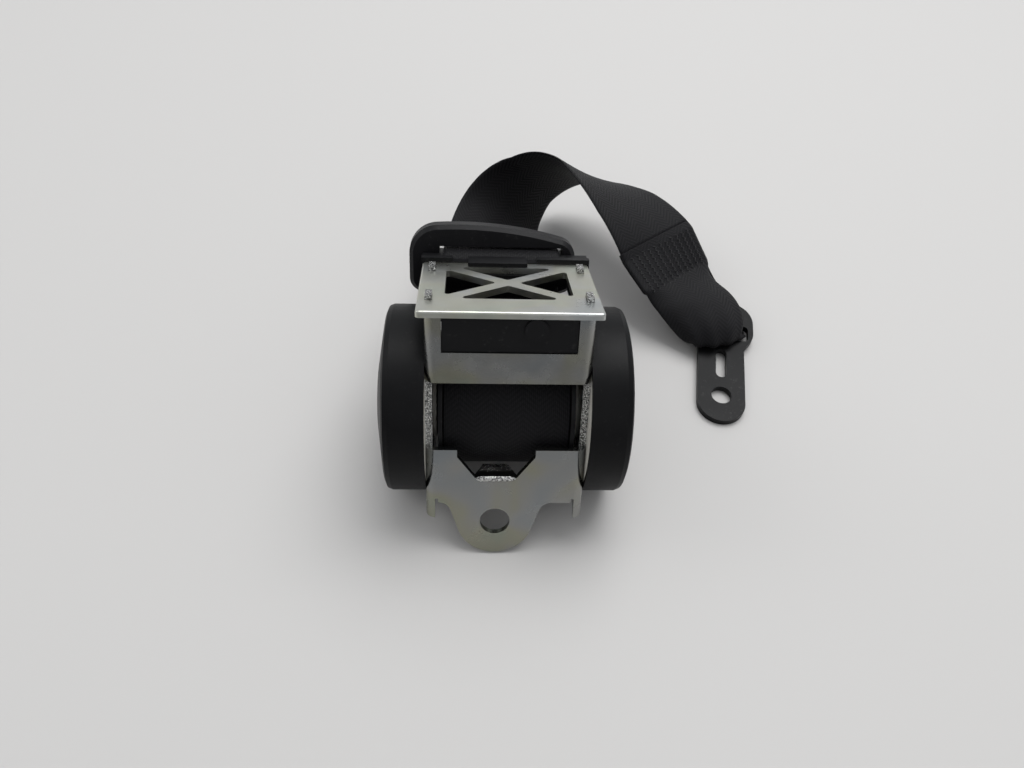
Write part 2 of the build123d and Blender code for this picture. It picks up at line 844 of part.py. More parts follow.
# vehicle sensor: cup, ball and lever
seat_start = half_width + base_thickness
ball_across = disc_side + disc_thickness / 2
ball_height = seat_top - bowl_depth + ball_gap + ball_radius
bowl_height = ball_height + bowl_radius - ball_radius
lever_low = ball_height + ball_radius + lever_gap
lever_pivot_height = lever_low + lever_thickness / 2
ear_end = disc_side - 0.6
with BuildPart() as sensor_seat:
    with BuildSketch(side(seat_start)):
        with Locations((spool_depth, (seat_top + seat_bottom) / 2)):
            Rectangle(seat_width, seat_thickness)
    extrude(amount=seat_length)
    # Keeps inside the round cover
    with BuildSketch(spool_side(seat_start)):
        Circle(base_radius - 2 * base_gap)
    extrude(amount=seat_length, mode=Mode.INTERSECT)
    with Locations(reel_point(ball_across, spool_depth, bowl_height)):
        Sphere(bowl_radius + ball_gap, mode=Mode.SUBTRACT)
    # Ear and pin that carry the lever
    with BuildSketch(side(seat_start)):
        with Locations((lever_pivot_depth, (seat_top - 2 + lever_pivot_height + 1.5) / 2)):
            Rectangle(3.0, lever_pivot_height + 1.5 - seat_top + 2)
    extrude(amount=ear_end - seat_start)
    with BuildSketch(side(ear_end, lever_pivot_depth, lever_pivot_height)):
        Circle(lever_pin_radius)
    extrude(amount=disc_side + disc_thickness + 1.2 - ear_end)
sensor_seat.part.label = "sensor_seat"
export_step(sensor_seat.part, "parts/sensor_seat.step")

with BuildPart() as sensor_ball:
    with Locations(reel_point(ball_across, spool_depth, ball_height)):
        Sphere(ball_radius)
sensor_ball.part.label = "sensor_ball"
export_step(sensor_ball.part, "parts/sensor_ball.step")

with BuildPart() as sensor_lever:
    with BuildSketch(side(disc_side - 0.3, lever_pivot_depth, lever_pivot_height)):
        Circle(lever_hub_radius)
        with Locations((lever_length / 2, 0)):
            Rectangle(lever_length, lever_thickness)
        with BuildLine():
            Polyline(
                (lever_length - 2.4, 0),
                (lever_length, 0),
                (lever_length, lever_beak),
                close=True,
            )
        make_face()
        Circle(lever_pin_radius + running_gap, mode=Mode.SUBTRACT)
    extrude(amount=disc_thickness + 0.6)
sensor_lever.part.label = "sensor_lever"
export_step(sensor_lever.part, "parts/sensor_lever.step")

# webbing run from the roll's back to the mouth
run_radius = roll_radius + web_thickness / 2 + 0.1
mouth_rise = mouth_bottom - spool_height
mouth_run = mouth_depth - spool_depth
leave_angle = degrees(atan2(mouth_rise, mouth_run) - acos(run_radius / hypot(mouth_rise, mouth_run)))
leave_y, leave_z = round_point(run_radius, leave_angle)
turn_start = slot_height - web_turn
run_sections = (
    (0, spool_depth + leave_y, spool_height + leave_z, leave_angle + 90),
    (web_shift, mouth_depth, mouth_bottom, leave_angle + 90),
    (web_shift, mouth_depth, turn_start, 90),
)
with BuildPart() as webbing_run:
    for x, y, z, heading in run_sections:
        along_run = inward * cos(radians(heading)) + upward * sin(radians(heading))
        with BuildSketch(Plane(origin=reel_point(x, y, z), x_dir=across, z_dir=along_run)):
            Rectangle(web_width, web_thickness)
    loft(ruled=True)
webbing_run.part.label = "webbing_run"
export_step(webbing_run.part, "parts/webbing_run.step")


# free end of the belt
def belt_stations(point, along, width, stretches):
    """Follow the belt's middle line: a stretch bends about the belt's width and twists about its length."""
    stations = [(point, along, width)]
    origin = (0, 0, 0)
    for length, bend, twist in stretches:
        count = max(2, round(length / station_step))
        for _ in range(count):
            halfway = along.rotate(Axis(origin, width), bend / count / 2)
            point = point + halfway * (length / count)
            along = along.rotate(Axis(origin, width), bend / count)
            width = width.rotate(Axis(origin, along), twist / count)
            stations.append((point, along, width))
    return stations


def belt_section(station):
    """The plane across the belt at a station: its x along the width, its normal along the belt."""
    point, along, width = station
    return Plane(origin=point, x_dir=width, z_dir=along)


free_start = reel_point(web_shift, mouth_depth + web_turn, slot_height)
free_stations = belt_stations(free_start, inward, across, free_stretches)
fold_stations = belt_stations(*free_stations[-1], folded_stretches)

with BuildPart() as webbing_strap:
    # Quarter turn over the mouth's back lip
    with BuildSketch(side(web_shift - web_width / 2, mouth_depth + web_turn, turn_start)):
        with BuildLine():
            outer = web_turn + web_thickness / 2
            inner = web_turn - web_thickness / 2
            Line((-inner, 0), (-outer, 0))
            RadiusArc((-outer, 0), (0, outer), outer)
            Line((0, outer), (0, inner))
            RadiusArc((0, inner), (-inner, 0), -inner)
        make_face()
    extrude(amount=web_width)
    for station in free_stations:
        with BuildSketch(belt_section(station)):
            Rectangle(web_width, web_thickness)
    loft(ruled=True)
webbing_strap.part.label = "webbing_strap"
export_step(webbing_strap.part, "parts/webbing_strap.step")

# anchor plate, its head raised by the webbing under its bar
tilt = radians(anchor_tilt)
turned = radians(anchor_turn)
anchor_u = Vector(cos(turned), -sin(turned), 0)
anchor_t = Vector(sin(turned) * cos(tilt), cos(turned) * cos(tilt), sin(tilt))
anchor_n = anchor_u.cross(anchor_t)
anchor_top = table_height + anchor_sheet * cos(tilt) + anchor_tip * sin(tilt)
anchor_hole = Vector(anchor_x, anchor_y, anchor_top)
anchor_face = Plane(origin=anchor_hole, x_dir=anchor_u, z_dir=anchor_n)
tip_radius = anchor_width / 2
with BuildPart() as anchor_plate:
    with BuildSketch(anchor_face) as anchor_outline:
        with Locations((0, -anchor_tip + tip_radius)):
            Circle(tip_radius)
        with Locations((0, (head_start + 4 - anchor_tip + tip_radius) / 2)):
            Rectangle(anchor_width, head_start + 4 + anchor_tip - tip_radius)
        with Locations((0, (head_start + head_end) / 2)):
            RectangleRounded(head_width, head_end - head_start, head_corner)
        with Locations((0, 0)):
            Circle(anchor_hole_radius, mode=Mode.SUBTRACT)
        with Locations((0, (anchor_slot_start + anchor_slot_end) / 2)):
            SlotOverall(anchor_slot_end - anchor_slot_start, anchor_slot_width, rotation=90, mode=Mode.SUBTRACT)
        with Locations((0, (web_slot_start + web_slot_end) / 2)):
            RectangleRounded(web_slot_width, web_slot_end - web_slot_start, 2.0, mode=Mode.SUBTRACT)
    extrude(amount=-anchor_sheet)
anchor_plate.part.label = "anchor_plate"
export_step(anchor_plate.part, "parts/anchor_plate.step")

# doubled, stitched end of the belt, gathered into the anchor's slot
bar_start = web_slot_end
bar_end = head_end
loop_half = web_slot_width / 2 - 1.0
slot_middle = (web_slot_start + web_slot_end) / 2
fold_end = anchor_hole + anchor_t * slot_middle + anchor_n * (loop_gap + fold_thickness / 2)
with BuildPart() as webbing_end:
    for index, (point, along, width) in enumerate(fold_stations):
        reach = max(0.0, 1 - (len(fold_stations) - 1 - index) / gather_steps)
        share = reach**2 * (3 - 2 * reach)
        aim = (along * (1 - share) - anchor_t * share).normalized()
        spread = width * (1 - share) + anchor_u * share
        spread = (spread - aim * aim.dot(spread)).normalized()
        place = point + (fold_end - fold_stations[-1][0]) * share
        with BuildSketch(Plane(origin=place, x_dir=spread, z_dir=aim)):
            Rectangle(web_width - (web_width - 2 * loop_half) * reach**2, fold_thickness)
    loft(ruled=True)
    # Loop round the bar
    loop_plane = Plane(origin=anchor_hole + anchor_u * -loop_half, x_dir=anchor_t, z_dir=anchor_u)
    inner_low = -anchor_sheet - loop_gap
    with BuildSketch(loop_plane):
        with Locations(((bar_start + bar_end) / 2, (inner_low + loop_gap) / 2)):
            Rectangle(
                bar_end - bar_start + 2 * (loop_gap + web_thickness),
                loop_gap - inner_low + 2 * web_thickness,
            )
            Rectangle(bar_end - bar_start + 2 * loop_gap, loop_gap - inner_low, mode=Mode.SUBTRACT)
    extrude(amount=2 * loop_half)
webbing_end.part.label = "webbing_end"
export_step(webbing_end.part, "parts/webbing_end.step")

# latch tongue: moulded body and steel blade
blade_front = tongue_front + (tongue_thickness - blade_thickness) / 2
blade_middle = (tongue_left + tongue_right) / 2
with BuildPart() as tongue_plate:
    with BuildSketch(front(blade_front + blade_thickness)) as blade_outline:
        with Locations((blade_middle, (blade_tip + blade_bury) / 2)):
            Rectangle(blade_width, blade_bury - blade_tip)
        fillet(blade_outline.vertices().sort_by(Axis.Y)[:2], blade_corner)
        window_middle = tongue_bottom - latch_below_body - latch_length / 2
        with Locations((blade_middle, window_middle)):
            RectangleRounded(latch_width, latch_length, 2.0, mode=Mode.SUBTRACT)
    extrude(amount=blade_thickness)
tongue_plate.part.label = "tongue_plate"
export_step(tongue_plate.part, "parts/tongue_plate.step")

with BuildPart() as tongue_body:
    with BuildSketch(front(tongue_front + tongue_thickness)) as body_outline:
        tongue_low_shoulder = tongue_top - tongue_shoulder
        shoulder_left = (tongue_left + tongue_shoulder, tongue_top)
        shoulder_right = (tongue_right - tongue_fall_width, tongue_top - tongue_fall)
        tongue_crest = tongue_left + tongue_crest_share * (tongue_right - tongue_left)
        with BuildLine():
            ThreePointArc(shoulder_left, (tongue_crest, tongue_top - tongue_crest_drop), shoulder_right)
            TangentArc(shoulder_right, (tongue_right, tongue_low_shoulder), tangent=(1, -0.35))
            Polyline(
                (tongue_right, tongue_low_shoulder),
                (tongue_right, tongue_bottom),
                (tongue_left, tongue_bottom),
                (tongue_left, tongue_low_shoulder),
            )
            RadiusArc((tongue_left, tongue_low_shoulder), shoulder_left, tongue_shoulder)
        make_face()
        low_corners = body_outline.vertices().sort_by(Axis.Y)[:2]
        fillet(low_corners, tongue_low_corner)
    extrude(amount=tongue_thickness)
    rims = tongue_body.faces().sort_by(Axis(reel_point(0, 0, 0), inward))
    chamfer(rims[0].edges() + rims[-1].edges(), tongue_edge)
    with BuildSketch(front(tongue_front + tongue_thickness + 1)):
        with Locations((web_shift, slot_height)):
            Rectangle(tongue_slot_width, tongue_slot)
    extrude(amount=tongue_thickness + 2, mode=Mode.SUBTRACT)
    with BuildSketch(front(blade_front + blade_thickness)):
        with Locations((blade_middle, (blade_tip + blade_bury) / 2)):
            Rectangle(blade_width, blade_bury - blade_tip)
    extrude(amount=blade_thickness, mode=Mode.SUBTRACT)
tongue_body.part.label = "tongue_body"
export_step(tongue_body.part, "parts/tongue_body.step")
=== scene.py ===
"""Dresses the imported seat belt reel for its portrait: finishes, webbing, studio and camera."""

from __future__ import annotations

import logging
import math
from dataclasses import dataclass, field, fields
from enum import Enum

import bmesh
import bpy
from bmesh.types import BMesh, BMFace, BMVert
from bpy.types import Material, Mesh, Node, NodeSocket, NodeTree, Object
from mathutils import Matrix, Vector

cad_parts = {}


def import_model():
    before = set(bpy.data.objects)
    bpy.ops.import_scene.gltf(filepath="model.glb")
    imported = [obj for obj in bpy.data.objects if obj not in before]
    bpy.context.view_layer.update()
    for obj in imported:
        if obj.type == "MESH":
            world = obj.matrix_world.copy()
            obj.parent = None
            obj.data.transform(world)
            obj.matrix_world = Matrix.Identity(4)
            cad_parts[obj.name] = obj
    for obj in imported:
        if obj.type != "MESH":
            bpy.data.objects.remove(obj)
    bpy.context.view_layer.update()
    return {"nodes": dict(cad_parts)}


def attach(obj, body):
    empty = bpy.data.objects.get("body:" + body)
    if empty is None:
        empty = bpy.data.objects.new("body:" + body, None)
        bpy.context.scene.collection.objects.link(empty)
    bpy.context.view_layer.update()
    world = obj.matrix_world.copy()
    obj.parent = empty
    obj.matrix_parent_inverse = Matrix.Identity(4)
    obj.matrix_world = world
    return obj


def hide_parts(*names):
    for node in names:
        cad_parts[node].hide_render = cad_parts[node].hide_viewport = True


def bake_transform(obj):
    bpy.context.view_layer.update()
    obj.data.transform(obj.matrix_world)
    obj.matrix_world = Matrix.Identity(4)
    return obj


LOG = logging.getLogger("seat_belt")
MM = 0.001

Colour = tuple[float, float, float]
Place = tuple[float, float, float]
Stretch = tuple[float, float, float]
Rails = tuple[Vector, Vector, Vector]
Ring = list[tuple[Vector, float]]
Corner = tuple[int, int]


class Body(str, Enum):
    """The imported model's bodies that new pieces ride on."""

    REEL = "reel"
    SPOOL = "spool"
    BELT = "belt"
    ANCHOR = "anchor"


class Effect(str, Enum):
    """The shared shader node groups."""

    MOTTLE = "colour mottle"
    GRAIN = "fine grain"
    WEAVE = "belt weave"
    DUST = "settled dust"
    TINT = "passivation tint"
    SHEAR = "sheared faces"


# The reel's axes and torn faces, with painted glints


@dataclass(frozen=True)
class ReelAxes:
    """The reel's own axes, which lean back on the table."""

    lean_degrees: float = 25.962
    offset: float = 3.6

    def point(self, x: float, y: float, z: float) -> Vector:
        """Turns reel millimetres into row metres.

        Args:
            x: Across, from the frame's middle.
            y: Into the reel's depth.
            z: Up its plate.

        Returns:
            The place in metres.
        """
        lean = math.radians(self.lean_degrees)
        depth = y * math.cos(lean) + z * math.sin(lean)
        height = -y * math.sin(lean) + z * math.cos(lean)
        return Vector((x + self.offset, depth, height)) * MM

    def inward(self) -> Vector:
        """The direction into the reel's depth."""
        return (self.point(0, 1, 0) - self.point(0, 0, 0)).normalized()

    def upward(self) -> Vector:
        """The direction up the reel's plate."""
        return (self.point(0, 0, 1) - self.point(0, 0, 0)).normalized()


@dataclass(frozen=True)
class ShearedZone:
    """Where the press tore the frame's metal and where glints are painted on it, in reel millimetres: two
    middles, each with its reach.
    """

    depth: float
    depth_reach: float
    height: float
    height_reach: float


WINDOW_WALLS = ShearedZone(3.4, 0.5, 45.45, 13.7)
# Painted light: the stop tab's top is made pale here, though the lamps leave it in shade.
STOP_TAB_TOP = ShearedZone(8.2, 3.2, 19.7, 0.9)
PEENED_LUGS = ShearedZone(25.0, 30.0, 88.1, 1.4)


# Shader groups


def opaque(colour: Colour) -> tuple[float, float, float, float]:
    """Adds full alpha to a colour."""
    return (*colour, 1.0)


@dataclass
class Wiring:
    """Adds nodes to one tree and feeds their inputs, each from another node's socket or from a value."""

    tree: NodeTree

    def feed(self, entry: NodeSocket, value: object) -> None:
        """Feeds an input.

        Args:
            entry: The input.
            value: The socket that it is linked to, or else the value that it is set to.
        """
        if isinstance(value, NodeSocket):
            self.tree.links.new(value, entry)
        else:
            entry.default_value = value

    def add(self, kind: str, **settings: object) -> Node:
        """Adds a node.

        Args:
            kind: The node's type.
            **settings: The node's properties, and what feeds its inputs.

        Returns:
            The new node.
        """
        node = self.tree.nodes.new(kind)
        for name, value in settings.items():
            if name in node.inputs.keys():
                self.feed(node.inputs[name], value)
            else:
                setattr(node, name, value)
        return node

    def maths(self, operation: str, *values: object, clamp: bool = False) -> NodeSocket:
        """Adds a Math node.

        Args:
            operation: What the node works out.
            *values: What feeds its inputs.
            clamp: Whether the result is kept from 0 to 1.

        Returns:
            Its result.
        """
        node = self.add("ShaderNodeMath", operation=operation, use_clamp=clamp)
        for entry, value in zip(node.inputs, values):
            self.feed(entry, value)
        return node.outputs["Value"]

    def mix(self, factor: object, first: object, second: object) -> NodeSocket:
        """Adds a Mix node for colours.

        Args:
            factor: How far it goes from first to second.
            first: The colour at 0.
            second: The colour at 1.

        Returns:
            The mixed colour.
        """
        node = self.add("ShaderNodeMix", data_type="RGBA")
        # The colour inputs stand after those for numbers and vectors
        for index, value in ((0, factor), (6, first), (7, second)):
            self.feed(node.inputs[index], value)
        return node.outputs["Result"]

    def place(self, kind: str = "Object") -> NodeSocket:
        """The coordinates of the place that is shaded."""
        return self.add("ShaderNodeTexCoord").outputs[kind]

    def split(self, vector: NodeSocket) -> tuple[NodeSocket, ...]:
        """The three parts of a vector."""
        return tuple(self.add("ShaderNodeSeparateXYZ", Vector=vector).outputs)

    def noise(self, place: NodeSocket, **settings: object) -> NodeSocket:
        """The strength of a noise, read at a place."""
        return self.add("ShaderNodeTexNoise", Vector=place, **settings).outputs["Fac"]

    def bump(self, height: object, distance: float, strength: float = 1.0, **under: object) -> NodeSocket:
        """The normal that a height raises, with its depth in metres, over the normal given below it."""
        node = self.add("ShaderNodeBump", Strength=strength, Distance=distance, Height=height, **under)
        return node.outputs["Normal"]

    def group(self, tree: NodeTree, **values: object) -> bpy.types.bpy_prop_collection:
        """Places a shared group, fed with its own values, and gives its outputs."""
        return self.add("ShaderNodeGroup", node_tree=tree, **values).outputs


class EffectLibrary:
    """Builds each shared node group once and hands it out."""

    base_grey: Colour = (0.6, 0.6, 0.6)
    torn_dark: Colour = (0.07, 0.07, 0.07)
    torn_bright: Colour = (0.9, 0.9, 0.88)
    passivation: tuple[tuple[float, Colour], ...] = (
        (0.3, (0.5, 0.56, 0.62)),
        (0.45, (0.62, 0.62, 0.6)),
        (0.56, (0.64, 0.62, 0.4)),
        (0.7, (0.5, 0.6, 0.42)),
    )

    def __init__(self) -> None:
        """Starts with no groups built."""
        self.built: dict[Effect, NodeTree] = {}

    def get(self, effect: Effect) -> NodeTree:
        """Gives the group for an effect.

        Args:
            effect: The effect that a material wants.

        Returns:
            The node group, built on the first call.
        """
        if effect not in self.built:
            maker = {
                Effect.MOTTLE: self.build_mottle,
                Effect.GRAIN: self.build_grain,
                Effect.WEAVE: self.build_weave,
                Effect.DUST: self.build_dust,
                Effect.TINT: self.build_tint,
                Effect.SHEAR: self.build_shear,
            }[effect]
            self.built[effect] = maker()
        return self.built[effect]

    @staticmethod
    def empty(effect: Effect, inputs: dict[str, object], outputs: tuple[str, ...]) -> tuple:
        """Makes a group with its sockets.

        Args:
            effect: The effect, whose value names the group.
            inputs: Socket name to default value; a tuple makes a colour.
            outputs: Socket names; one named Color is a colour.

        Returns:
            The group's wiring, the sockets that it is given and the sockets that it gives.
        """
        tree = bpy.data.node_groups.new(effect.value, "ShaderNodeTree")
        for name, value in inputs.items():
            kind = "NodeSocketColor" if isinstance(value, tuple) else "NodeSocketFloat"
            socket = tree.interface.new_socket(name, in_out="INPUT", socket_type=kind)
            socket.default_value = value
        for name in outputs:
            kind = "NodeSocketColor" if name == "Color" else "NodeSocketFloat"
            tree.interface.new_socket(name, in_out="OUTPUT", socket_type=kind)
        start, end = tree.nodes.new("NodeGroupInput"), tree.nodes.new("NodeGroupOutput")
        return Wiring(tree), start.outputs, end.inputs

    def build_mottle(self) -> NodeTree:
        """Blends two colours by soft clouds.

        Returns:
            A group with the sockets Scale, Contrast, Light and Dark, giving Color and Mask.
        """
        white, grey = opaque((1.0, 1.0, 1.0)), opaque((0.5, 0.5, 0.5))
        inputs = {"Scale": 60.0, "Contrast": 1.0, "Light": white, "Dark": grey}
        wire, given, gives = self.empty(Effect.MOTTLE, inputs, ("Color", "Mask"))
        clouds = wire.noise(wire.place(), Detail=5.0, Roughness=0.6, Scale=given["Scale"])
        centred = wire.maths("SUBTRACT", clouds, 0.5)
        stretched = wire.maths("MULTIPLY", centred, given["Contrast"])
        mask = wire.maths("ADD", stretched, 0.5, clamp=True)
        wire.feed(gives["Color"], wire.mix(mask, given["Dark"], given["Light"]))
        wire.feed(gives["Mask"], mask)
        return wire.tree

    def build_grain(self) -> NodeTree:
        """Gives the height of a moulded or cast grain.

        Returns:
            A group with the sockets Scale and Stretch, giving Height.
        """
        wire, given, gives = self.empty(Effect.GRAIN, {"Scale": 2500.0, "Stretch": 1.0}, ("Height",))
        spread = wire.add("ShaderNodeCombineXYZ", X=1.0, Y=given["Stretch"], Z=1.0)
        pulled = wire.add("ShaderNodeVectorMath", operation="MULTIPLY")
        wire.feed(pulled.inputs[0], wire.place())
        wire.feed(pulled.inputs[1], spread.outputs["Vector"])
        pits = wire.noise(pulled.outputs["Vector"], Detail=3.0, Roughness=0.55, Scale=given["Scale"])
        wire.feed(gives["Height"], pits)
        return wire.tree

    def build_weave(self) -> NodeTree:
        """Gives the height and thread mask of a herringbone belt weave, from UVs in metres.

        Returns:
            A group with the sockets Cord, Float and Panel in metres, giving Height and Mask.
        """
        wire, given, gives = self.empty(
            Effect.WEAVE, {"Cord": 0.00075, "Float": 0.0021, "Panel": 0.0059}, ("Height", "Mask")
        )
        slant, float_rise = 0.85, 0.3
        across, along, _ = wire.split(wire.place("UV"))
        # Rounded cords side by side across the belt
        cords = wire.maths("DIVIDE", across, given["Cord"])
        cord_wave = wire.maths("SINE", wire.maths("MULTIPLY", cords, math.pi))
        cord = wire.maths("ABSOLUTE", cord_wave)
        # The floats step along from cord to cord and turn back at each panel
        panel = wire.maths("PINGPONG", across, given["Panel"])
        slanted = wire.maths("MULTIPLY_ADD", panel, slant, along)
        floats = wire.maths("DIVIDE", slanted, given["Float"])
        float_wave = wire.maths("SINE", wire.maths("MULTIPLY", floats, math.tau))
        raised = wire.maths("MULTIPLY_ADD", float_wave, float_rise, 1.0 - float_rise)
        wire.feed(gives["Height"], wire.maths("MULTIPLY", cord, raised))
        wire.feed(gives["Mask"], raised)
        return wire.tree

    def build_dust(self) -> NodeTree:
        """Gives a mask of sparse pale specks and faint scuffs.

        Returns:
            A group with the sockets Scale and Amount, giving Mask.
        """
        wire, given, gives = self.empty(Effect.DUST, {"Scale": 400.0, "Amount": 0.3}, ("Mask",))
        threshold, sharpness = 0.58, 6.0
        specks = wire.noise(wire.place(), Detail=8.0, Roughness=0.75, Scale=given["Scale"])
        lifted = wire.maths("SUBTRACT", specks, threshold)
        sharpened = wire.maths("MULTIPLY", lifted, sharpness, clamp=True)
        wire.feed(gives["Mask"], wire.maths("MULTIPLY", sharpened, given["Amount"]))
        return wire.tree

    def build_tint(self) -> NodeTree:
        """Tints zinc with the yellow, green and blue clouds of its passivation.

        Returns:
            A group with the sockets Color, Scale and Amount, giving Color.
        """
        wire, given, gives = self.empty(
            Effect.TINT, {"Color": opaque(self.base_grey), "Scale": 38.0, "Amount": 0.35}, ("Color",)
        )
        clouds = wire.noise(wire.place(), Detail=2.0, Roughness=0.5, Distortion=0.6, Scale=given["Scale"])
        ramp = wire.add("ShaderNodeValToRGB", Fac=clouds)
        stops = ramp.color_ramp.elements
        while len(stops) < len(self.passivation):
            stops.new(0.5)
        for stop, (spot, hue) in zip(stops, self.passivation):
            stop.position = spot
            stop.color = opaque(hue)
        tinted = wire.mix(given["Amount"], given["Color"], ramp.outputs["Color"])
        wire.feed(gives["Color"], tinted)
        return wire.tree

    def build_shear(self) -> NodeTree:
        """Roughens the faces that the press tore: the window's walls, the stop tab's top and the lugs, with
        bright speckles that are partly painted glints; the stop tab's top is made pale as painted light.

        Returns:
            A group with the socket Color, giving Color and Height.
        """
        wire, given, gives = self.empty(Effect.SHEAR, {"Color": opaque(self.base_grey)}, ("Color", "Height"))
        sharpness, bright_share = 7.0, 0.3
        lean = math.radians(ReelAxes().lean_degrees)
        place = wire.place()
        _, back, up = wire.split(place)
        rear = wire.maths("MULTIPLY", up, -math.sin(lean))
        depth = wire.maths("MULTIPLY_ADD", back, math.cos(lean), rear)
        rise = wire.maths("MULTIPLY", up, math.cos(lean))
        height = wire.maths("MULTIPLY_ADD", back, math.sin(lean), rise)
        masks = []
        for zone in (WINDOW_WALLS, STOP_TAB_TOP, PEENED_LUGS):
            near = wire.maths("COMPARE", depth, zone.depth * MM, zone.depth_reach * MM)
            level = wire.maths("COMPARE", height, zone.height * MM, zone.height_reach * MM)
            masks.append(wire.maths("MULTIPLY", near, level))
        mask = masks[0]
        for other in masks[1:]:
            mask = wire.maths("MAXIMUM", mask, other)
        torn = wire.noise(place, Scale=1900.0, Detail=4.0, Roughness=0.7)
        centred = wire.maths("SUBTRACT", torn, 0.5)
        sharp = wire.maths("MULTIPLY_ADD", centred, sharpness, bright_share, clamp=True)
        # Bright speckles: torn metal, partly painted glints
        glint_speckles = wire.mix(sharp, opaque(self.torn_dark), opaque(self.torn_bright))
        wire.feed(gives["Color"], wire.mix(mask, given["Color"], glint_speckles))
        wire.feed(gives["Height"], wire.maths("MULTIPLY", mask, torn))
        return wire.tree


# Finishes


def new_material(name: str) -> tuple:
    """Makes a node material.

    Args:
        name: The material's name.

    Returns:
        The material, its wiring and the inputs of its shader.
    """
    made = bpy.data.materials.new(name)
    made.use_nodes = True
    return made, Wiring(made.node_tree), made.node_tree.nodes["Principled BSDF"].inputs


@dataclass(frozen=True)
class Finish:
    """A finish of mottled colour, uneven gloss and fine grain."""

    name: str
    light: Colour
    dark: Colour
    metallic: float = 0.0
    smooth: float = 0.35
    rough: float = 0.5
    mottle_scale: float = 60.0
    contrast: float = 1.6
    grain_scale: float = 2500.0
    grain_stretch: float = 1.0
    grain_depth: float = 0.00002
    dust: float = 0.0
    dust_colour: Colour = (0.45, 0.44, 0.42)
    specular: float = 0.5
    tint: float = 0.0
    shear_depth: float = 0.0

    def material(self, effects: EffectLibrary) -> Material:
        """Builds the material.

        Args:
            effects: The shared node groups.

        Returns:
            A node material.
        """
        made, wire, shader = new_material(self.name)
        mottle = wire.group(
            effects.get(Effect.MOTTLE),
            Scale=self.mottle_scale,
            Contrast=self.contrast,
            Light=opaque(self.light),
            Dark=opaque(self.dark),
        )
        colour = mottle["Color"]
        if self.tint > 0.0:
            colour = wire.group(effects.get(Effect.TINT), Amount=self.tint, Color=colour)["Color"]
        if self.dust > 0.0:
            dust = wire.group(effects.get(Effect.DUST), Amount=self.dust)
            colour = wire.mix(dust["Mask"], colour, opaque(self.dust_colour))
        grain = wire.group(effects.get(Effect.GRAIN), Scale=self.grain_scale, Stretch=self.grain_stretch)
        normal = wire.bump(grain["Height"], self.grain_depth)
        if self.shear_depth > 0.0:
            shear = wire.group(effects.get(Effect.SHEAR), Color=colour)
            colour = shear["Color"]
            normal = wire.bump(shear["Height"], self.shear_depth, Normal=normal)
        gloss = wire.maths("MULTIPLY_ADD", mottle["Mask"], self.rough - self.smooth, self.smooth)
        wire.feed(shader["Base Color"], colour)
        wire.feed(shader["Roughness"], gloss)
        wire.feed(shader["Normal"], normal)
        shader["Metallic"].default_value = self.metallic
        shader["Specular IOR Level"].default_value = self.specular
        return made


@dataclass(frozen=True)
class WovenFinish:
    """Black polyester webbing with its herringbone weave and a soft sheen."""

    name: str = "webbing"
    thread: Colour = (0.011, 0.0105, 0.0125)
    valley: Colour = (0.002, 0.002, 0.0025)
    depth: float = 0.00016
    relief: float = 0.8
    rough: float = 0.68
    float_gloss: float = 0.15
    specular: float = 0.16
    sheen: float = 0.02
    sheen_rough: float = 0.4
    dust: float = 0.06
    dust_scale: float = 900.0
    dust_colour: Colour = (0.12, 0.12, 0.12)

    def material(self, effects: EffectLibrary) -> Material:
        """Builds the material.

        Args:
            effects: The shared node groups.

        Returns:
            A node material.
        """
        made, wire, shader = new_material(self.name)
        weave = wire.group(effects.get(Effect.WEAVE))
        # The weave's hollows take the darker colour: painted shade.
        threads = wire.mix(weave["Height"], opaque(self.valley), opaque(self.thread))
        dust = wire.group(effects.get(Effect.DUST), Scale=self.dust_scale, Amount=self.dust)
        wire.feed(shader["Base Color"], wire.mix(dust["Mask"], threads, opaque(self.dust_colour)))
        gloss = wire.maths("MULTIPLY_ADD", weave["Mask"], -self.float_gloss, self.rough)
        wire.feed(shader["Roughness"], gloss)
        wire.feed(shader["Normal"], wire.bump(weave["Height"], self.depth, self.relief))
        shader["Specular IOR Level"].default_value = self.specular
        shader["Sheen Weight"].default_value = self.sheen
        shader["Sheen Roughness"].default_value = self.sheen_rough
        return made


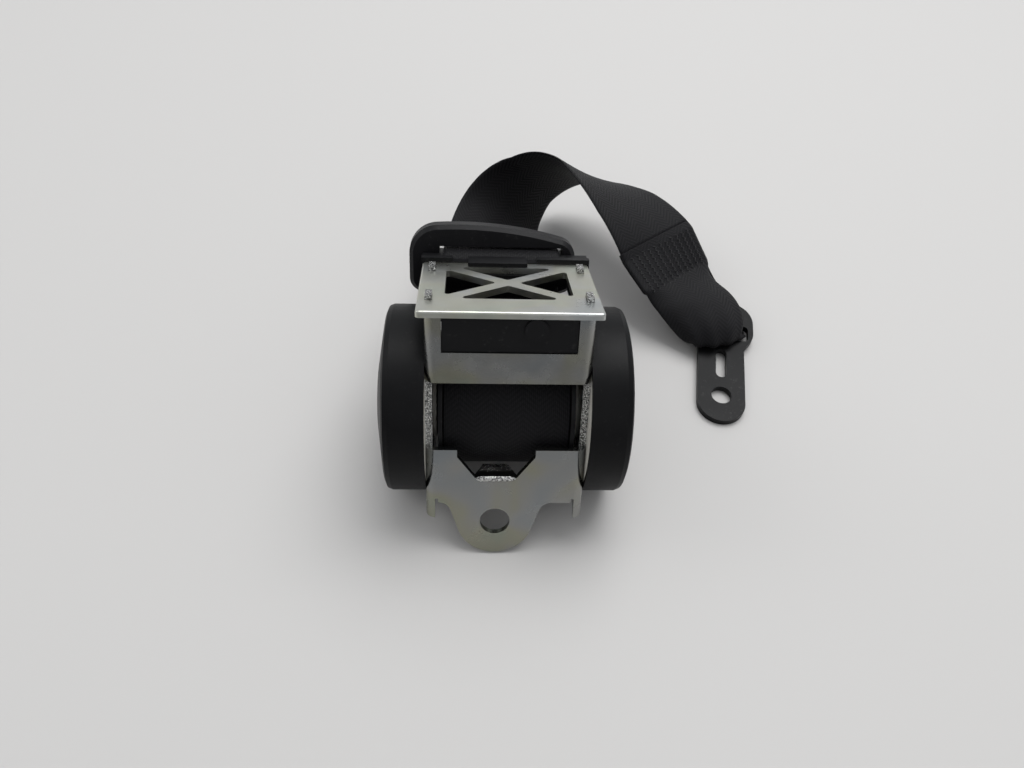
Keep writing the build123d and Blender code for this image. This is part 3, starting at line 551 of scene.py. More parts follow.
@dataclass(frozen=True)
class Palette:
    """Every finish of the object."""

    # The frame's zinc is much darker than the tie plate's, though both are the same zinc: painted shade,
    # standing for the dark room that the frame's faces reflect.
    zinc: Finish = Finish(
        "zinc plate", (0.215, 0.215, 0.207), (0.13, 0.134, 0.13), metallic=1.0, smooth=0.17, rough=0.34,
        mottle_scale=70.0, grain_scale=1800.0, grain_stretch=0.25, grain_depth=0.000012, dust=0.1, tint=0.22,
        shear_depth=0.00035,
    )
    tie_zinc: Finish = Finish(
        "zinc tie plate", (0.56, 0.57, 0.54), (0.4, 0.41, 0.39), metallic=1.0, smooth=0.22, rough=0.42,
        mottle_scale=70.0, grain_scale=1800.0, grain_stretch=0.25, grain_depth=0.000012, dust=0.12, tint=0.25,
    )
    # Bright torn-metal edges: partly the bare metal of the cut, partly painted highlight standing for the
    # light that the edges catch; the stop tab's bend takes it too.
    sheared: Finish = Finish(
        "sheared edge", (0.88, 0.88, 0.86), (0.12, 0.12, 0.12), metallic=1.0, smooth=0.16, rough=0.45,
        mottle_scale=1100.0, contrast=4.5, grain_scale=1400.0, grain_stretch=3.0, grain_depth=0.00012,
    )
    cover: Finish = Finish(
        "black moulding", (0.0055, 0.0055, 0.0062), (0.0035, 0.0035, 0.004), smooth=0.36, rough=0.5,
        grain_depth=0.00003, dust=0.02, specular=0.12,
    )
    guide: Finish = Finish(
        "black web guide", (0.006, 0.006, 0.007), (0.004, 0.004, 0.0045), smooth=0.4, rough=0.52,
        grain_depth=0.00003, dust=0.05, specular=0.18,
    )
    tongue: Finish = Finish(
        "tongue moulding", (0.009, 0.0085, 0.01), (0.005, 0.005, 0.006), smooth=0.38, rough=0.5,
        grain_depth=0.00005, dust=0.06, specular=0.18,
    )
    coat: Finish = Finish(
        "black coat", (0.009, 0.009, 0.0095), (0.005, 0.005, 0.0055), smooth=0.3, rough=0.46,
        grain_scale=1500.0, grain_depth=0.00003, dust=0.1, specular=0.13,
    )
    # Pale edges of the black anchor: partly rubbed coat, partly painted highlight standing for the bright
    # table that the edges reflect.
    worn: Finish = Finish(
        "worn coat edge", (0.16, 0.16, 0.165), (0.01, 0.01, 0.011), smooth=0.25, rough=0.45,
        mottle_scale=260.0, contrast=3.0, grain_scale=1500.0, grain_depth=0.00004, specular=0.4,
    )
    natural: Finish = Finish(
        "natural moulding", (0.7, 0.68, 0.62), (0.6, 0.58, 0.52), smooth=0.4, rough=0.55,
        grain_depth=0.00002,
    )
    steel: Finish = Finish(
        "plain steel", (0.5, 0.5, 0.51), (0.36, 0.36, 0.37), metallic=1.0, smooth=0.3, rough=0.48,
        grain_stretch=0.2, grain_depth=0.00001,
    )
    bright: Finish = Finish(
        "bright plate", (0.8, 0.8, 0.81), (0.7, 0.7, 0.71), metallic=1.0, smooth=0.12, rough=0.25,
        grain_depth=0.000006,
    )
    thread: Finish = Finish(
        "stitching thread", (0.017, 0.017, 0.019), (0.008, 0.008, 0.009), smooth=0.36, rough=0.5,
        grain_scale=3200.0, grain_depth=0.00003, specular=0.3,
    )
    webbing: WovenFinish = WovenFinish()

    def materials(self, effects: EffectLibrary) -> dict[str, Material]:
        """Builds every finish, under its field's name."""
        return {entry.name: getattr(self, entry.name).material(effects) for entry in fields(self)}


FINISHED_NODES: dict[str, tuple[str, ...]] = {
    "zinc": ("frame",),
    "tie_zinc": ("tie_plate",),
    "guide": ("web_guide",),
    "cover": ("spring_cover", "sensor_cover"),
    "tongue": ("tongue_body",),
    "coat": ("anchor_plate", "spool"),
    "bright": ("tongue_plate", "sensor_ball"),
    "steel": ("axle", "webbing_pin", "return_spring", "ratchet_wheel", "locking_pawl", "pawl_pin"),
    "natural": (
        "bearing_bush_left", "bearing_bush_right", "spring_base", "spring_arbor", "spring_cover_pins",
        "sensor_base", "sensor_cover_pins", "control_disc", "sensor_seat", "sensor_lever",
    ),
}


# Shared mesh work


def new_object(name: str, mesh: Mesh, material: Material) -> Object:
    """Puts a mesh into the scene.

    Args:
        name: The piece's name.
        mesh: Its mesh.
        material: Its finish.

    Returns:
        The new object, smooth shaded.
    """
    made = bpy.data.objects.new(name, mesh)
    bpy.context.collection.objects.link(made)
    mesh.materials.append(material)
    for face in mesh.polygons:
        face.use_smooth = True
    return made


def new_piece(name: str, work: BMesh, material: Material) -> Object:
    """Puts finished mesh work into the scene and frees it.

    Args:
        name: The piece's name.
        work: Its closed mesh.
        material: Its finish.

    Returns:
        The new object, with its faces turned outwards.
    """
    bmesh.ops.recalc_face_normals(work, faces=work.faces)
    mesh = bpy.data.meshes.new(name)
    work.to_mesh(mesh)
    work.free()
    return new_object(name, mesh, material)


def join_rings(work: BMesh, rings: list[list[BMVert]], gaps: int) -> list[tuple[BMFace, list[Corner]]]:
    """Joins rings into a tube, with flat ends unless its last gap leads back to the first ring.

    Args:
        work: The mesh that takes the faces.
        rings: The tube's rings.
        gaps: How many gaps between rings are walled.

    Returns:
        Each face with its corners, as ring and spot.
    """
    count = len(rings[0])
    outlines: list[list[Corner]] = []
    for row in range(gaps):
        for spot in range(count):
            after = (spot + 1) % count
            outlines.append([(row, spot), (row, after), (row + 1, after), (row + 1, spot)])
    if gaps < len(rings):
        outlines += [[(row, spot) for spot in range(count)] for row in (0, gaps)]
    faces = []
    for outline in outlines:
        corners = [rings[row % len(rings)][spot] for row, spot in outline]
        faces.append((work.faces.new(corners), outline))
    return faces


def swept_piece(name: str, rings: list[Ring], travel: list[float], material: Material) -> Object:
    """Makes a piece of webbing from rings, with UVs in metres.

    Args:
        name: The piece's name.
        rings: Its rings.
        travel: Distance along the belt of each ring, in metres; one more closes the piece on itself.
        material: Its finish.

    Returns:
        The piece.
    """
    work = bmesh.new()
    layer = work.loops.layers.uv.new("UVMap")
    rows = [[work.verts.new(place) for place, _ in ring] for ring in rings]
    for face, outline in join_rings(work, rows, len(travel) - 1):
        for loop, (row, spot) in zip(face.loops, outline):
            loop[layer].uv = (rings[row % len(rings)][spot][1], travel[row])
    return new_piece(name, work, material)


# The belt


@dataclass(frozen=True)
class Webbing:
    """The belt's own size and its way through the reel, in reel millimetres."""

    width: float = 47.0
    thickness: float = 1.2
    edge_share: float = 0.45
    edge_round: float = 0.8
    shift: float = -1.5
    mouth_depth: float = 57.5
    mouth_bottom: float = 78.0
    slot_height: float = 88.0
    turn_radius: float = 6.0

    def half_thickness(self, share: float) -> float:
        """Half the thickness at a share of the width, less at both edges."""
        edge = min(share, 1.0 - share) * self.width
        return self.thickness / 2 * min(1.0, self.edge_share + edge / self.edge_round)


@dataclass
class Station:
    """One place along a belt: its middle, its direction and its width's direction."""

    point: Vector
    along: Vector
    width: Vector
    travelled: float = 0.0

    def normal(self) -> Vector:
        """The direction through the belt, square to its length and width."""
        return self.width.cross(self.along).normalized()


@dataclass
class BeltPath:
    """Follows a belt through stretches that bend about its width and twist about its length."""

    start: Station
    stretches: tuple[Stretch, ...]
    step: float = 7.0

    def stations(self) -> list[Station]:
        """Walks the belt.

        Returns:
            Its stations, in metres.
        """
        here = self.start
        found = [here]
        for length, bend, twist in self.stretches:
            count = max(2, round(length / self.step))
            for _ in range(count):
                half = Matrix.Rotation(math.radians(bend / count / 2), 3, here.width)
                whole = Matrix.Rotation(math.radians(bend / count), 3, here.width)
                piece = length / count * MM
                point = here.point + (half @ here.along) * piece
                along = (whole @ here.along).normalized()
                turn = Matrix.Rotation(math.radians(twist / count), 3, along)
                here = Station(point, along, (turn @ here.width).normalized(), here.travelled + piece)
                found.append(here)
        return found


def hermite(share: float) -> tuple[float, float, float]:
    """Weights of a smooth curve's rise, its leaving slope and its arriving slope."""
    rise = share * share * (3 - 2 * share)
    return rise, share * (1 - share) ** 2, -share * share * (1 - share)


def smoothed(stations: list[Station], parts: int) -> list[Station]:
    """Fills in a belt's line between its stations, with no kink at any of them.

    Args:
        stations: The stations that the line passes through.
        parts: How many pieces each gap is cut into.

    Returns:
        The finer stations, with the distance travelled counted again.
    """
    found = [stations[0]]
    for first, second in zip(stations, stations[1:]):
        span = (second.point - first.point).length
        for part in range(1, parts + 1):
            share = part / parts
            rise, leave, arrive = hermite(share)
            point = first.point.lerp(second.point, rise)
            point += first.along * (span * leave) + second.along * (span * arrive)
            along = first.along.lerp(second.along, share).normalized()
            width = first.width.lerp(second.width, share)
            width = (width - along * width.dot(along)).normalized()
            travelled = found[-1].travelled + (point - found[-1].point).length
            found.append(Station(point, along, width, travelled))
    return found


@dataclass
class SweptBand:
    """A closed band of webbing swept along stations."""

    belt: Webbing = Webbing()
    columns: int = 32

    def ring(self, station: Station) -> Ring:
        """Points round the band at a station.

        Args:
            station: Where on the belt.

        Returns:
            Pairs of place and distance across, in metres, one face first and then the other.
        """
        normal = station.normal()
        points: Ring = []
        for face in (1.0, -1.0):
            for column in range(self.columns + 1):
                share = column / self.columns if face > 0 else 1.0 - column / self.columns
                across = (share - 0.5) * self.belt.width * MM
                lift = face * self.belt.half_thickness(share) * MM
                points.append((station.point + station.width * across + normal * lift, across))
        return points

    def follow(self, name: str, stations: list[Station], material: Material) -> Object:
        """Makes the band along a belt's stations."""
        rings = [self.ring(station) for station in stations]
        return swept_piece(name, rings, [station.travelled for station in stations], material)


@dataclass
class DrapedBand(SweptBand):
    """A band laid through rows of three places: left edge, middle and right edge."""

    rows: list[Rails] = field(default_factory=list)
    pleats: dict[int, float] = field(default_factory=dict)
    parts: int = 4
    pleat_waves: float = 7.0
    pleat_wander: float = 0.6
    wander_rate: float = 0.3

    @staticmethod
    def rail(points: list[Vector], parts: int) -> list[Vector]:
        """A smooth line through places.

        Args:
            points: The places.
            parts: How many pieces each gap is cut into.

        Returns:
            The line's finer places.
        """
        gaps = [(after - before).length for before, after in zip(points, points[1:])]
        runs = [(points[index + 1] - points[index]) / gap for index, gap in enumerate(gaps)]
        slopes = [runs[0]]
        for index in range(1, len(runs)):
            before, after = gaps[index - 1], gaps[index]
            slopes.append((runs[index - 1] * after + runs[index] * before) / (before + after))
        slopes.append(runs[-1])
        found = [points[0]]
        for index, gap in enumerate(gaps):
            for part in range(1, parts + 1):
                rise, leave, arrive = hermite(part / parts)
                place = points[index].lerp(points[index + 1], rise)
                found.append(place + slopes[index] * (leave * gap) + slopes[index + 1] * (arrive * gap))
        return found

    def surface(self) -> list[list[Vector]]:
        """Finds the band's middle surface.

        Returns:
            Its places, row by row.
        """
        left, middle, right = (self.rail([row[side] for row in self.rows], self.parts) for side in range(3))
        found = []
        for first, second, third in zip(left, middle, right):
            row = []
            for column in range(self.columns + 1):
                share = column / self.columns
                weights = ((1 - share) * (1 - 2 * share), 4 * share * (1 - share), share * (2 * share - 1))
                row.append(first * weights[0] + second * weights[1] + third * weights[2])
            found.append(row)
        return found

    def pleat(self, index: int) -> float:
        """Finds the height of the pleats at a finer row, between those of the rows beside it.

        Args:
            index: Which finer row it is.

        Returns:
            The height in millimetres.
        """
        low = min(index // self.parts, len(self.rows) - 2)
        share = index / self.parts - low
        return self.pleats.get(low, 0.0) * (1 - share) + self.pleats.get(low + 1, 0.0) * share

    def draped_ring(self, index: int, before: list[Vector], row: list[Vector], after: list[Vector]) -> Ring:
        """Points round the band at a finer row.

        Args:
            index: Which row it is.
            before: The surface's row before it.
            row: The surface there.
            after: The surface's row after it.

        Returns:
            Pairs of place and distance across, in metres.
        """
        upper: Ring = []
        lower: Ring = []
        wander = self.pleat_wander * math.sin(index * self.wander_rate)
        for column, place in enumerate(row):
            beside = row[min(self.columns, column + 1)] - row[max(0, column - 1)]
            normal = beside.cross(after[column] - before[column]).normalized()
            share = column / self.columns
            half = self.belt.half_thickness(share) * MM
            wave = self.pleat(index) * math.sin(share * math.pi * self.pleat_waves + wander) * MM
            across = (share - 0.5) * self.belt.width * MM
            upper.append((place + normal * (half + wave), across))
            lower.append((place + normal * (wave - half), across))
        return upper + lower[::-1]

    def build(self, name: str, material: Material) -> tuple[Object, float]:
        """Makes the band.

        Args:
            name: The piece's name.
            material: Its finish.

        Returns:
            The piece and the band's length in metres.
        """
        surface = self.surface()
        centre = self.columns // 2
        rings: list[Ring] = []
        travel = [0.0]
        for index, row in enumerate(surface):
            before = surface[max(0, index - 1)]
            after = surface[min(len(surface) - 1, index + 1)]
            if index:
                travel.append(travel[-1] + (row[centre] - before[centre]).length)
            rings.append(self.draped_ring(index, before, row, after))
        return swept_piece(name, rings, travel, material), travel[-1]


@dataclass(frozen=True)
class AnchorAxes:
    """The anchor plate's own axes: u across it, t from its bolt hole to its head, n out of its face."""

    hole: Place = (104.4, 70.3, -10.678)
    turn_degrees: float = 9.3
    tilt_degrees: float = 2.2

    def across(self) -> Vector:
        """The direction of u."""
        turn = math.radians(self.turn_degrees)
        return Vector((math.cos(turn), -math.sin(turn), 0.0))

    def along(self) -> Vector:
        """The direction of t."""
        turn, tilt = math.radians(self.turn_degrees), math.radians(self.tilt_degrees)
        return Vector((math.sin(turn) * math.cos(tilt), math.cos(turn) * math.cos(tilt), math.sin(tilt)))

    def outward(self) -> Vector:
        """The direction of n."""
        return self.across().cross(self.along())

    def point(self, u: float, t: float, n: float) -> Vector:
        """Turns anchor millimetres into row metres."""
        return (Vector(self.hole) + self.across() * u + self.along() * t + self.outward() * n) * MM

    def rails(self, rows: tuple[tuple[Place, Place, Place], ...]) -> list[Rails]:
        """Turns rows of left edge, middle and right edge, in anchor millimetres, into row metres."""
        return [tuple(self.point(*place) for place in row) for row in rows]


@dataclass(frozen=True)
class Stitches:
    """The sewing's rows of zigzag thread, in millimetres along and across the belt."""

    rows: int = 11
    half_span: float = 19.0
    pitch: float = 2.2
    swing: float = 1.7
    radius: float = 0.34
    lead: float = 3.5
    margin: float = 6.0
    wander: float = 0.3
    wander_rate: float = 2.3
    sides: int = 6
    parts: int = 4

    def spans(self, length: float) -> list[tuple[tuple[float, float], tuple[float, float]]]:
        """Both ends of every stitch.

        Args:
            length: How much of the belt is sewn.

        Returns:
            Pairs of start and end, each as distance along the belt and across it.
        """
        found = []
        for row in range(self.rows):
            across = -self.half_span + 2 * self.half_span * row / (self.rows - 1)
            shift = self.lead + self.wander * math.sin(row * self.wander_rate)
            for half in range(2 * int((length - self.margin) / self.pitch)):
                begin = shift + self.pitch * half / 2
                side = self.swing if half % 2 == 0 else -self.swing
                found.append(((begin, across - side / 2), (begin + self.pitch / 2, across + side / 2)))
        return found


@dataclass
class FreeEnd:
    """The free end of the belt, from the guide's mouth to the anchor's slot."""

    axes: ReelAxes
    belt: Webbing = Webbing()
    anchor: AnchorAxes = AnchorAxes()
    stitches: Stitches = Stitches()
    stretches: tuple[Stretch, ...] = (
        (14, 0, 0),
        (24, -24, 2),
        (25, 6, 6),
        (27, 50, 33),
        (28, 61, 37),
        (28, 60, 17),
        (29, 19, 25),
        (23, 18, 14),
    )
    fold_stretches: tuple[Stretch, ...] = (
        (4, 3, 2),
        (25, -2, -8),
        (13, -12, 7),
        (12, -7, -13),
    )
    sewn_length: float = 27.0
    layer_gap: float = 0.05
    turn_steps: int = 12
    fineness: int = 5
    sewn_step: int = 3
    first_pleat: int = 3
    pleat_heights: tuple[float, ...] = (0.1, 0.25, 0.4, 0.5, 0.45, 0.3, 0.2)
    swing_centre: float = 47.0

    def main_stations(self) -> list[Station]:
        """Walks the single belt.

        Returns:
            Its stations, from the mouth to the stitched fold.
        """
        inward, upward = self.axes.inward(), self.axes.upward()
        across = Vector((1.0, 0.0, 0.0))
        belt, radius = self.belt, self.belt.turn_radius
        centre = self.axes.point(belt.shift, belt.mouth_depth + radius, belt.slot_height - radius)
        turn = []
        for step in range(self.turn_steps + 1):
            angle = math.pi / 2 * step / self.turn_steps
            spoke = upward * math.sin(angle) - inward * math.cos(angle)
            along = upward * math.cos(angle) + inward * math.sin(angle)
            turn.append(Station(centre + spoke * radius * MM, along, across, radius * MM * angle))
        return turn[:-1] + smoothed(BeltPath(turn[-1], self.stretches).stations(), self.fineness)

    def sewn_stations(self) -> list[Station]:
        """Walks the upper layer along the stitching.

        Returns:
            Its stations.
        """
        start = self.main_stations()[-1]
        walked = BeltPath(Station(start.point, start.along, start.width), self.fold_stretches).stations()
        fine = smoothed(walked, self.fineness)
        return [station for station in fine if station.travelled <= self.sewn_length * MM]

    def edges(self, station: Station, drop: float = 0.0) -> Rails:
        """The band's left edge, middle and right edge at a station.

        Args:
            station: The station.
            drop: How far below it they lie, in millimetres.

        Returns:
            The three places.
        """
        middle = station.point + station.normal() * drop * MM
        reach = station.width * (self.belt.width / 2 * MM)
        return (middle - reach, middle, middle + reach)

    def over_head(self) -> list[Rails]:
        """Rows from the stitching over the anchor's head, round the lip and down to the slot."""
        return self.anchor.rails((
            ((-38.2, 38.2, 16.4), (-21.0, 51.4, 14.4), (-8.0, 65.0, 9.6)),
            ((-36.4, 37.2, 14.2), (-17.8, 47.8, 14.4), (-4.0, 59.8, 9.6)),
            ((-32.4, 34.6, 11.2), (-14.2, 43.2, 14.2), (1.4, 55.2, 9.2)),
            ((-28.0, 31.8, 8.0), (-10.8, 38.2, 13.0), (5.8, 49.4, 8.4)),
            ((-23.6, 29.4, 5.0), (-8.4, 32.6, 11.0), (8.4, 43.2, 7.2)),
            ((-19.6, 27.4, 3.0), (-6.8, 27.4, 7.8), (9.0, 37.0, 5.6)),
            ((-16.2, 26.8, 1.8), (-5.4, 24.8, 4.2), (8.8, 33.6, 3.3)),
            ((-13.6, 28.8, 1.2), (-3.6, 27.2, 1.4), (9.4, 33.6, 1.5)),
            ((-12.6, 33.0, 1.0), (-1.4, 32.8, 0.9), (10.6, 35.0, 0.9)),
        ))

    def round_bar(self) -> list[Rails]:
        """Rows from the slot under the anchor's bar and up behind the head to the stitching."""
        return self.anchor.rails((
            ((-12.3, 36.0, 0.4), (0.0, 36.0, 0.2), (11.8, 36.6, 0.2)),
            ((-12.2, 38.0, -1.4), (0.0, 38.0, -1.5), (12.0, 38.2, -1.5)),
            ((-12.2, 39.8, -3.2), (0.0, 39.8, -3.2), (12.1, 39.9, -3.2)),
            ((-12.2, 43.0, -3.9), (0.0, 43.0, -3.9), (12.0, 43.0, -3.9)),
            ((-12.6, 50.0, -3.9), (-0.6, 50.0, -3.9), (11.0, 50.0, -3.9)),
            ((-14.6, 56.4, -3.7), (-2.6, 57.2, -3.8), (8.6, 58.0, -3.8)),
            ((-19.6, 56.6, -0.2), (-7.0, 60.2, -0.4), (4.6, 62.2, -1.0)),
            ((-28.0, 51.6, 6.2), (-13.6, 60.6, 5.2), (-2.4, 65.6, 3.2)),
            ((-35.6, 46.4, 12.6), (-20.0, 59.4, 10.6), (-7.6, 69.8, 8.0)),
        ))

    def build_strap(self, material: Material) -> Object:
        """Makes the single belt.

        Args:
            material: The webbing.

        Returns:
            The piece, riding with the belt.
        """
        stations = self.main_stations()
        piece = SweptBand(self.belt).follow("belt_free_end", stations, material)
        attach(piece, Body.BELT.value)
        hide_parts("webbing_strap")
        return piece

    def build_fold(self, material: Material) -> Object:
        """Makes the doubled end, one length of belt over the head, through its slot and back.

        Args:
            material: The webbing.

        Returns:
            The piece, with its placement baked into its mesh.
        """
        sewn = self.sewn_stations()[:: self.sewn_step][:-1]
        drop = self.belt.thickness + self.layer_gap
        rows = [self.edges(station) for station in sewn]
        lip = len(rows)
        rows += self.over_head() + self.round_bar()
        rows += [self.edges(station, drop) for station in reversed(sewn)]
        pleats = {lip + self.first_pleat + index: height for index, height in enumerate(self.pleat_heights)}
        piece, length = DrapedBand(self.belt, rows=rows, pleats=pleats).build("belt_stitched_end", material)
        end = self.anchor.point(0.0, self.swing_centre, 0.0)
        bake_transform(piece)
        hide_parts("webbing_end")
        return piece

    def build_stitching(self, material: Material) -> Object:
        """Sews the doubled end with rows of zigzag stitches.

        Args:
            material: The thread.

        Returns:
            The piece, riding with the belt.
        """
        stations = self.sewn_stations()
        work = bmesh.new()
        for first, second in self.stitches.spans(self.sewn_length):
            self.sew(work, stations, first, second)
        piece = new_piece("belt_stitching", work, material)
        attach(piece, Body.BELT.value)
        return piece

    def sew(
        self,
        work: BMesh,
        stations: list[Station],
        first: tuple[float, float],
        second: tuple[float, float],
    ) -> None:
        """Adds one stitch, a short rounded arch of thread that is sunk and thin at both ends.

        Args:
            work: The mesh that takes it.
            stations: The upper layer's stations.
            first: Its start, as millimetres along the belt and across it.
            second: Its end.
        """
        sides, parts, radius = self.stitches.sides, self.stitches.parts, self.stitches.radius
        arch_rise, sunk, end_share = 0.9, 0.35, 0.55
        rings = []
        for part in range(parts + 1):
            share = part / parts
            travel = first[0] + (second[0] - first[0]) * share
            across = first[1] + (second[1] - first[1]) * share
            here = self.place_at(stations, travel)
            arch = math.sin(math.pi * share)
            lift = self.belt.thickness / 2 + radius * (arch_rise * arch - sunk)
            out = -here.normal()
            middle = here.point + (here.width * across + out * lift) * MM
            run = here.along * (second[0] - first[0]) + here.width * (second[1] - first[1])
            beside = run.normalized().cross(out)
            size = radius * (end_share + (1.0 - end_share) * arch) * MM
            ring = []
            for side in range(sides):
                angle = math.tau * side / sides
                spoke = beside * math.cos(angle) + out * math.sin(angle)
                ring.append(work.verts.new(middle + spoke * size))
            rings.append(ring)
        join_rings(work, rings, len(rings) - 1)

    @staticmethod
    def place_at(stations: list[Station], travel: float) -> Station:
        """Finds a place on a belt.

        Args:
            stations: The belt's stations.
            travel: The distance from the first of them, in millimetres.

        Returns:
            A station there.
        """
        for first, second in zip(stations, stations[1:]):
            reach = (second.travelled - stations[0].travelled) / MM
            if reach >= travel:
                begin = (first.travelled - stations[0].travelled) / MM
                share = (travel - begin) / (reach - begin)
                return Station(
                    first.point.lerp(second.point, share),
                    first.along.lerp(second.along, share).normalized(),
                    first.width.lerp(second.width, share).normalized(),
                )
        return stations[-1]


@dataclass
class WoundBelt:
    """The belt on the spool and its straight run up to the mouth."""

    axes: ReelAxes
    belt: Webbing = Webbing()
    roll_radius: float = 25.4
    core_radius: float = 10.0
    spool_depth: float = 29.0
    spool_height: float = 38.9
    turns: int = 12
    turn_bevel: float = 0.5
    turn_flat: tuple[float, float] = (0.3, 0.7)
    segments: int = 96
    run_gap: float = 0.1
    run_parts: int = 16

    def profile(self) -> list[tuple[float, float]]:
        """Draws the roll's outline, with a groove between the turns.

        Returns:
            Pairs of place across and radius, in millimetres.
        """
        half = self.belt.width / 2
        thick = (self.roll_radius - self.core_radius) / self.turns
        found: list[tuple[float, float]] = []
        for side in (1.0, -1.0):
            steps = []
            for turn in range(self.turns):
                radius = self.core_radius + thick * turn
                steps.append((side * (half - self.turn_bevel), radius))
                steps.extend((side * half, radius + share * thick) for share in self.turn_flat)
            steps.append((side * (half - self.turn_bevel), self.roll_radius))
            found.extend(steps if side > 0 else reversed(steps))
        return found

    def build_roll(self, material: Material) -> Object:
        """Makes the roll with its turns showing at both ends.

        Args:
            material: The webbing.

        Returns:
            The piece, riding with the spool.
        """
        profile = self.profile()
        rings: list[Ring] = []
        for segment in range(self.segments):
            angle = math.tau * segment / self.segments
            ring = []
            for x, radius in profile:
                y = self.spool_depth + radius * math.cos(angle)
                z = self.spool_height + radius * math.sin(angle)
                ring.append((self.axes.point(x, y, z), x * MM))
            rings.append(ring)
        travel = [row / self.segments * math.tau * self.roll_radius * MM for row in range(self.segments + 1)]
        piece = swept_piece("wound_belt", rings, travel, material)
        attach(piece, Body.SPOOL.value)
        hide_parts("webbing_roll")
        return piece

    def build_run(self, material: Material) -> Object:
        """Makes the straight run from the roll to the mouth.

        Args:
            material: The webbing.

        Returns:
            The piece, with its placement baked into its mesh.
        """
        belt = self.belt
        reach = self.roll_radius + belt.thickness / 2 + self.run_gap
        rise = belt.mouth_bottom - self.spool_height
        run = belt.mouth_depth - self.spool_depth
        angle = math.atan2(rise, run) - math.acos(reach / math.hypot(rise, run))
        leave = (self.spool_depth + reach * math.cos(angle), self.spool_height + reach * math.sin(angle))
        across = Vector((1.0, 0.0, 0.0))
        first = self.axes.point(0, *leave)
        last = self.axes.point(belt.shift, belt.mouth_depth, belt.mouth_bottom)
        top = self.axes.point(belt.shift, belt.mouth_depth, belt.slot_height - belt.turn_radius)
        along = (last - first).normalized()
        length = (last - first).length
        stations = []
        for step in range(self.run_parts + 1):
            share = step / self.run_parts
            stations.append(Station(first.lerp(last, share), along, across, length * share))
        stations.append(Station(top, (top - last).normalized(), across, length + (top - last).length))
        piece = SweptBand(belt).follow("belt_run", stations, material)
        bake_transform(piece)
        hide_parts("webbing_run")
        length = stations[-1].travelled
        return piece


# The hardware


@dataclass(frozen=True)
class BrokenEdge:
    """How a solid's sharp edges are broken: its finish there, width in millimetres and least angle."""

    node: str
    finish: str
    width: float
    angle: float


@dataclass
class Hardware:
    """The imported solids, each dressed in its finish, some with broken edges."""

    nodes: dict[str, Object]
    materials: dict[str, Material]
    broken_edges: tuple[BrokenEdge, ...] = (
        BrokenEdge("frame", "sheared", 0.42, 40.0),
        BrokenEdge("tie_plate", "sheared", 0.22, 40.0),
        BrokenEdge("anchor_plate", "worn", 0.3, 40.0),
        BrokenEdge("spring_cover", "cover", 0.7, 16.0),
        BrokenEdge("sensor_cover", "cover", 0.7, 16.0),
        BrokenEdge("web_guide", "guide", 0.35, 30.0),
    )
    edge_segments: int = 2

    def dress(self) -> None:
        """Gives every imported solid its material."""
        for finish, names in FINISHED_NODES.items():
            for name in names:
                solid = self.nodes[name]
                if not solid.material_slots:
                    solid.data.materials.append(self.materials[finish])
                for slot in solid.material_slots:
                    slot.material = self.materials[finish]
                LOG.info("dressed %s as %s", name, finish)

    def break_edges(self) -> None:
        """Rounds the sharp edges a little, in a finish of their own; the metal parts get pale edges, partly
        for bare metal and partly as painted highlight.
        """
        for edge in self.broken_edges:
            solid = self.nodes[edge.node]
            solid.data.materials.append(self.materials[edge.finish])
            bevel = solid.modifiers.new("broken edges", "BEVEL")
            bevel.width = edge.width * MM
            bevel.segments = self.edge_segments
            bevel.limit_method = "ANGLE"
            bevel.angle_limit = math.radians(edge.angle)
            bevel.use_clamp_overlap = False
            bevel.material = len(solid.data.materials) - 1


@dataclass
class StopTabBend:
    """The outer bend where the frame's stop tab folds in from the notch's floor, coloured bright as a painted
    highlight.
    """

    axes: ReelAxes
    middle: float = -3.6
    half_width: float = 7.7
    depth: float = 0.25
    height: float = 19.2
    radius: float = 1.1
    flatness: float = 0.55
    end_share: float = 0.35
    end_growth: float = 6.0
    flute: float = 0.05
    flute_rate: float = 2.1
    sides: int = 10
    spans: int = 24

    def build(self, material: Material) -> Object:
        """Makes the bend as a fluted half round.

        Args:
            material: The bright edge finish, which here paints the bend's highlight.

        Returns:
            The piece, riding with the frame.
        """
        work = bmesh.new()
        rings = []
        for span in range(self.spans + 1):
            share = span / self.spans
            across = self.middle + self.half_width * (2 * share - 1)
            taper = min(1.0, self.end_share + self.end_growth * min(share, 1.0 - share))
            ring = []
            for side in range(self.sides + 1):
                angle = math.pi * side / self.sides
                flute = 1.0 + self.flute * math.sin(span * self.flute_rate + side)
                swell = self.radius * taper * flute
                depth = self.depth - swell * self.flatness * math.sin(angle)
                level = self.height - swell * math.cos(angle)
                ring.append(work.verts.new(self.axes.point(across, depth, level)))
            rings.append(ring)
        join_rings(work, rings, len(rings) - 1)
        piece = new_piece("stop_tab_bend", work, material)
        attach(piece, Body.REEL.value)
        return piece


# The studio


@dataclass(frozen=True)
class Lamp:
    """A soft square lamp: its place and side in metres, and its watts."""

    name: str
    place: Place
    side: float
    watts: float


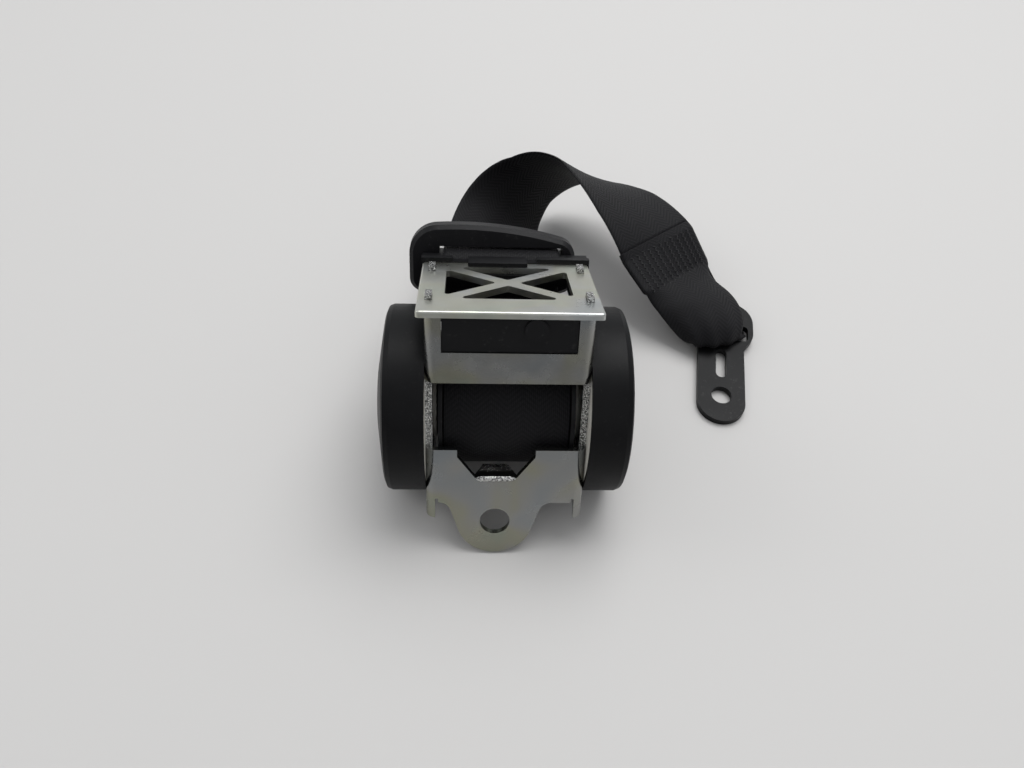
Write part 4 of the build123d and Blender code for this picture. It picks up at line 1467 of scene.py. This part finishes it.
@dataclass
class Studio:
    """Floor, lights and camera."""

    table_height: float = -14.221
    floor_reach: float = 4.0
    floor_colour: Colour = (0.56, 0.55, 0.54)
    floor_rough: float = 0.6
    floor_specular: float = 0.3
    lamps: tuple[Lamp, ...] = (
        Lamp("ceiling_lamp", (0.35, 0.6, 1.4), 1.1, 16.5),
        Lamp("window_lamp", (-1.4, 0.5, 1.0), 0.9, 4.0),
        Lamp("front_lamp", (0.5, -1.5, 0.9), 0.8, 1.5),
    )
    lit_place: Place = (0.03, 0.08, 0.02)
    room_strength: float = 0.75
    room_low: Colour = (0.34, 0.345, 0.355)
    room_high: Colour = (0.92, 0.94, 0.96)
    room_base: float = 0.34
    room_back: float = 0.52
    room_rise: float = 0.58
    camera_place: Place = (-10.7, -153.96, 286.40)
    heading: float = -4.919
    pitch: float = 37.754
    roll: float = 4.506
    lens: float = 29.18
    sensor: float = 36.0
    clip: float = 0.01

    def build_floor(self) -> None:
        """Makes the plain pale floor."""
        mesh = bpy.data.meshes.new("floor")
        reach, height = self.floor_reach, self.table_height * MM
        corners = ((-reach, -reach), (reach, -reach), (reach, reach), (-reach, reach))
        mesh.from_pydata([(x, y, height) for x, y in corners], [], [(0, 1, 2, 3)])
        material, _, shader = new_material("pale floor")
        shader["Base Color"].default_value = opaque(self.floor_colour)
        shader["Roughness"].default_value = self.floor_rough
        shader["Specular IOR Level"].default_value = self.floor_specular
        floor = new_object("floor", mesh, material)

    def build_lamps(self) -> None:
        """Adds the soft lamps."""
        for lamp in self.lamps:
            light = bpy.data.lights.new(lamp.name, "AREA")
            light.shape = "SQUARE"
            light.size = lamp.side
            light.energy = lamp.watts
            made = bpy.data.objects.new(lamp.name, light)
            bpy.context.collection.objects.link(made)
            made.location = lamp.place
            aim = Vector(self.lit_place) - Vector(lamp.place)
            made.rotation_euler = aim.to_track_quat("-Z", "Y").to_euler()

    def build_room(self) -> None:
        """Surrounds the reel with a plain room, paler above and behind it."""
        world = bpy.data.worlds.new("studio")
        world.use_nodes = True
        bpy.context.scene.world = world
        backdrop = world.node_tree.nodes["Background"].inputs
        wire = Wiring(world.node_tree)
        _, back, up = wire.split(wire.place("Generated"))
        behind = wire.maths("MULTIPLY_ADD", back, self.room_back, self.room_base)
        share = wire.maths("MULTIPLY_ADD", up, self.room_rise, behind, clamp=True)
        wire.feed(backdrop["Color"], wire.mix(share, opaque(self.room_low), opaque(self.room_high)))
        backdrop["Strength"].default_value = self.room_strength

    def build_camera(self) -> None:
        """Places the camera where the photograph was taken from."""
        lens = bpy.data.cameras.new("camera")
        lens.sensor_fit = "HORIZONTAL"
        lens.sensor_width = self.sensor
        lens.lens = self.lens
        lens.clip_start = self.clip
        camera = bpy.data.objects.new("camera", lens)
        bpy.context.collection.objects.link(camera)
        turn = (
            Matrix.Rotation(math.radians(self.heading), 4, "Z")
            @ Matrix.Rotation(math.radians(self.pitch), 4, "X")
            @ Matrix.Rotation(math.radians(self.roll), 4, "Z")
        )
        camera.matrix_world = Matrix.Translation(Vector(self.camera_place) * MM) @ turn
        bpy.context.scene.camera = camera


def main() -> None:
    """Builds the scene piece by piece."""
    logging.basicConfig(level=logging.INFO, format="%(name)s: %(message)s")
    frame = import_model()
    bpy.context.scene.view_settings.view_transform = "Standard"
    studio = Studio()
    studio.build_camera()
    studio.build_floor()
    studio.build_lamps()
    studio.build_room()
    materials = Palette().materials(EffectLibrary())
    hardware = Hardware(frame["nodes"], materials)
    hardware.dress()
    hardware.break_edges()
    axes = ReelAxes()
    wound = WoundBelt(axes)
    free_end = FreeEnd(axes)
    pieces = (
        StopTabBend(axes).build(materials["sheared"]),
        wound.build_roll(materials["webbing"]),
        wound.build_run(materials["webbing"]),
        free_end.build_strap(materials["webbing"]),
        free_end.build_fold(materials["webbing"]),
        free_end.build_stitching(materials["thread"]),
    )
    for piece in pieces:
        LOG.info("built %s", piece.name)


if __name__ == "__main__":
    main()
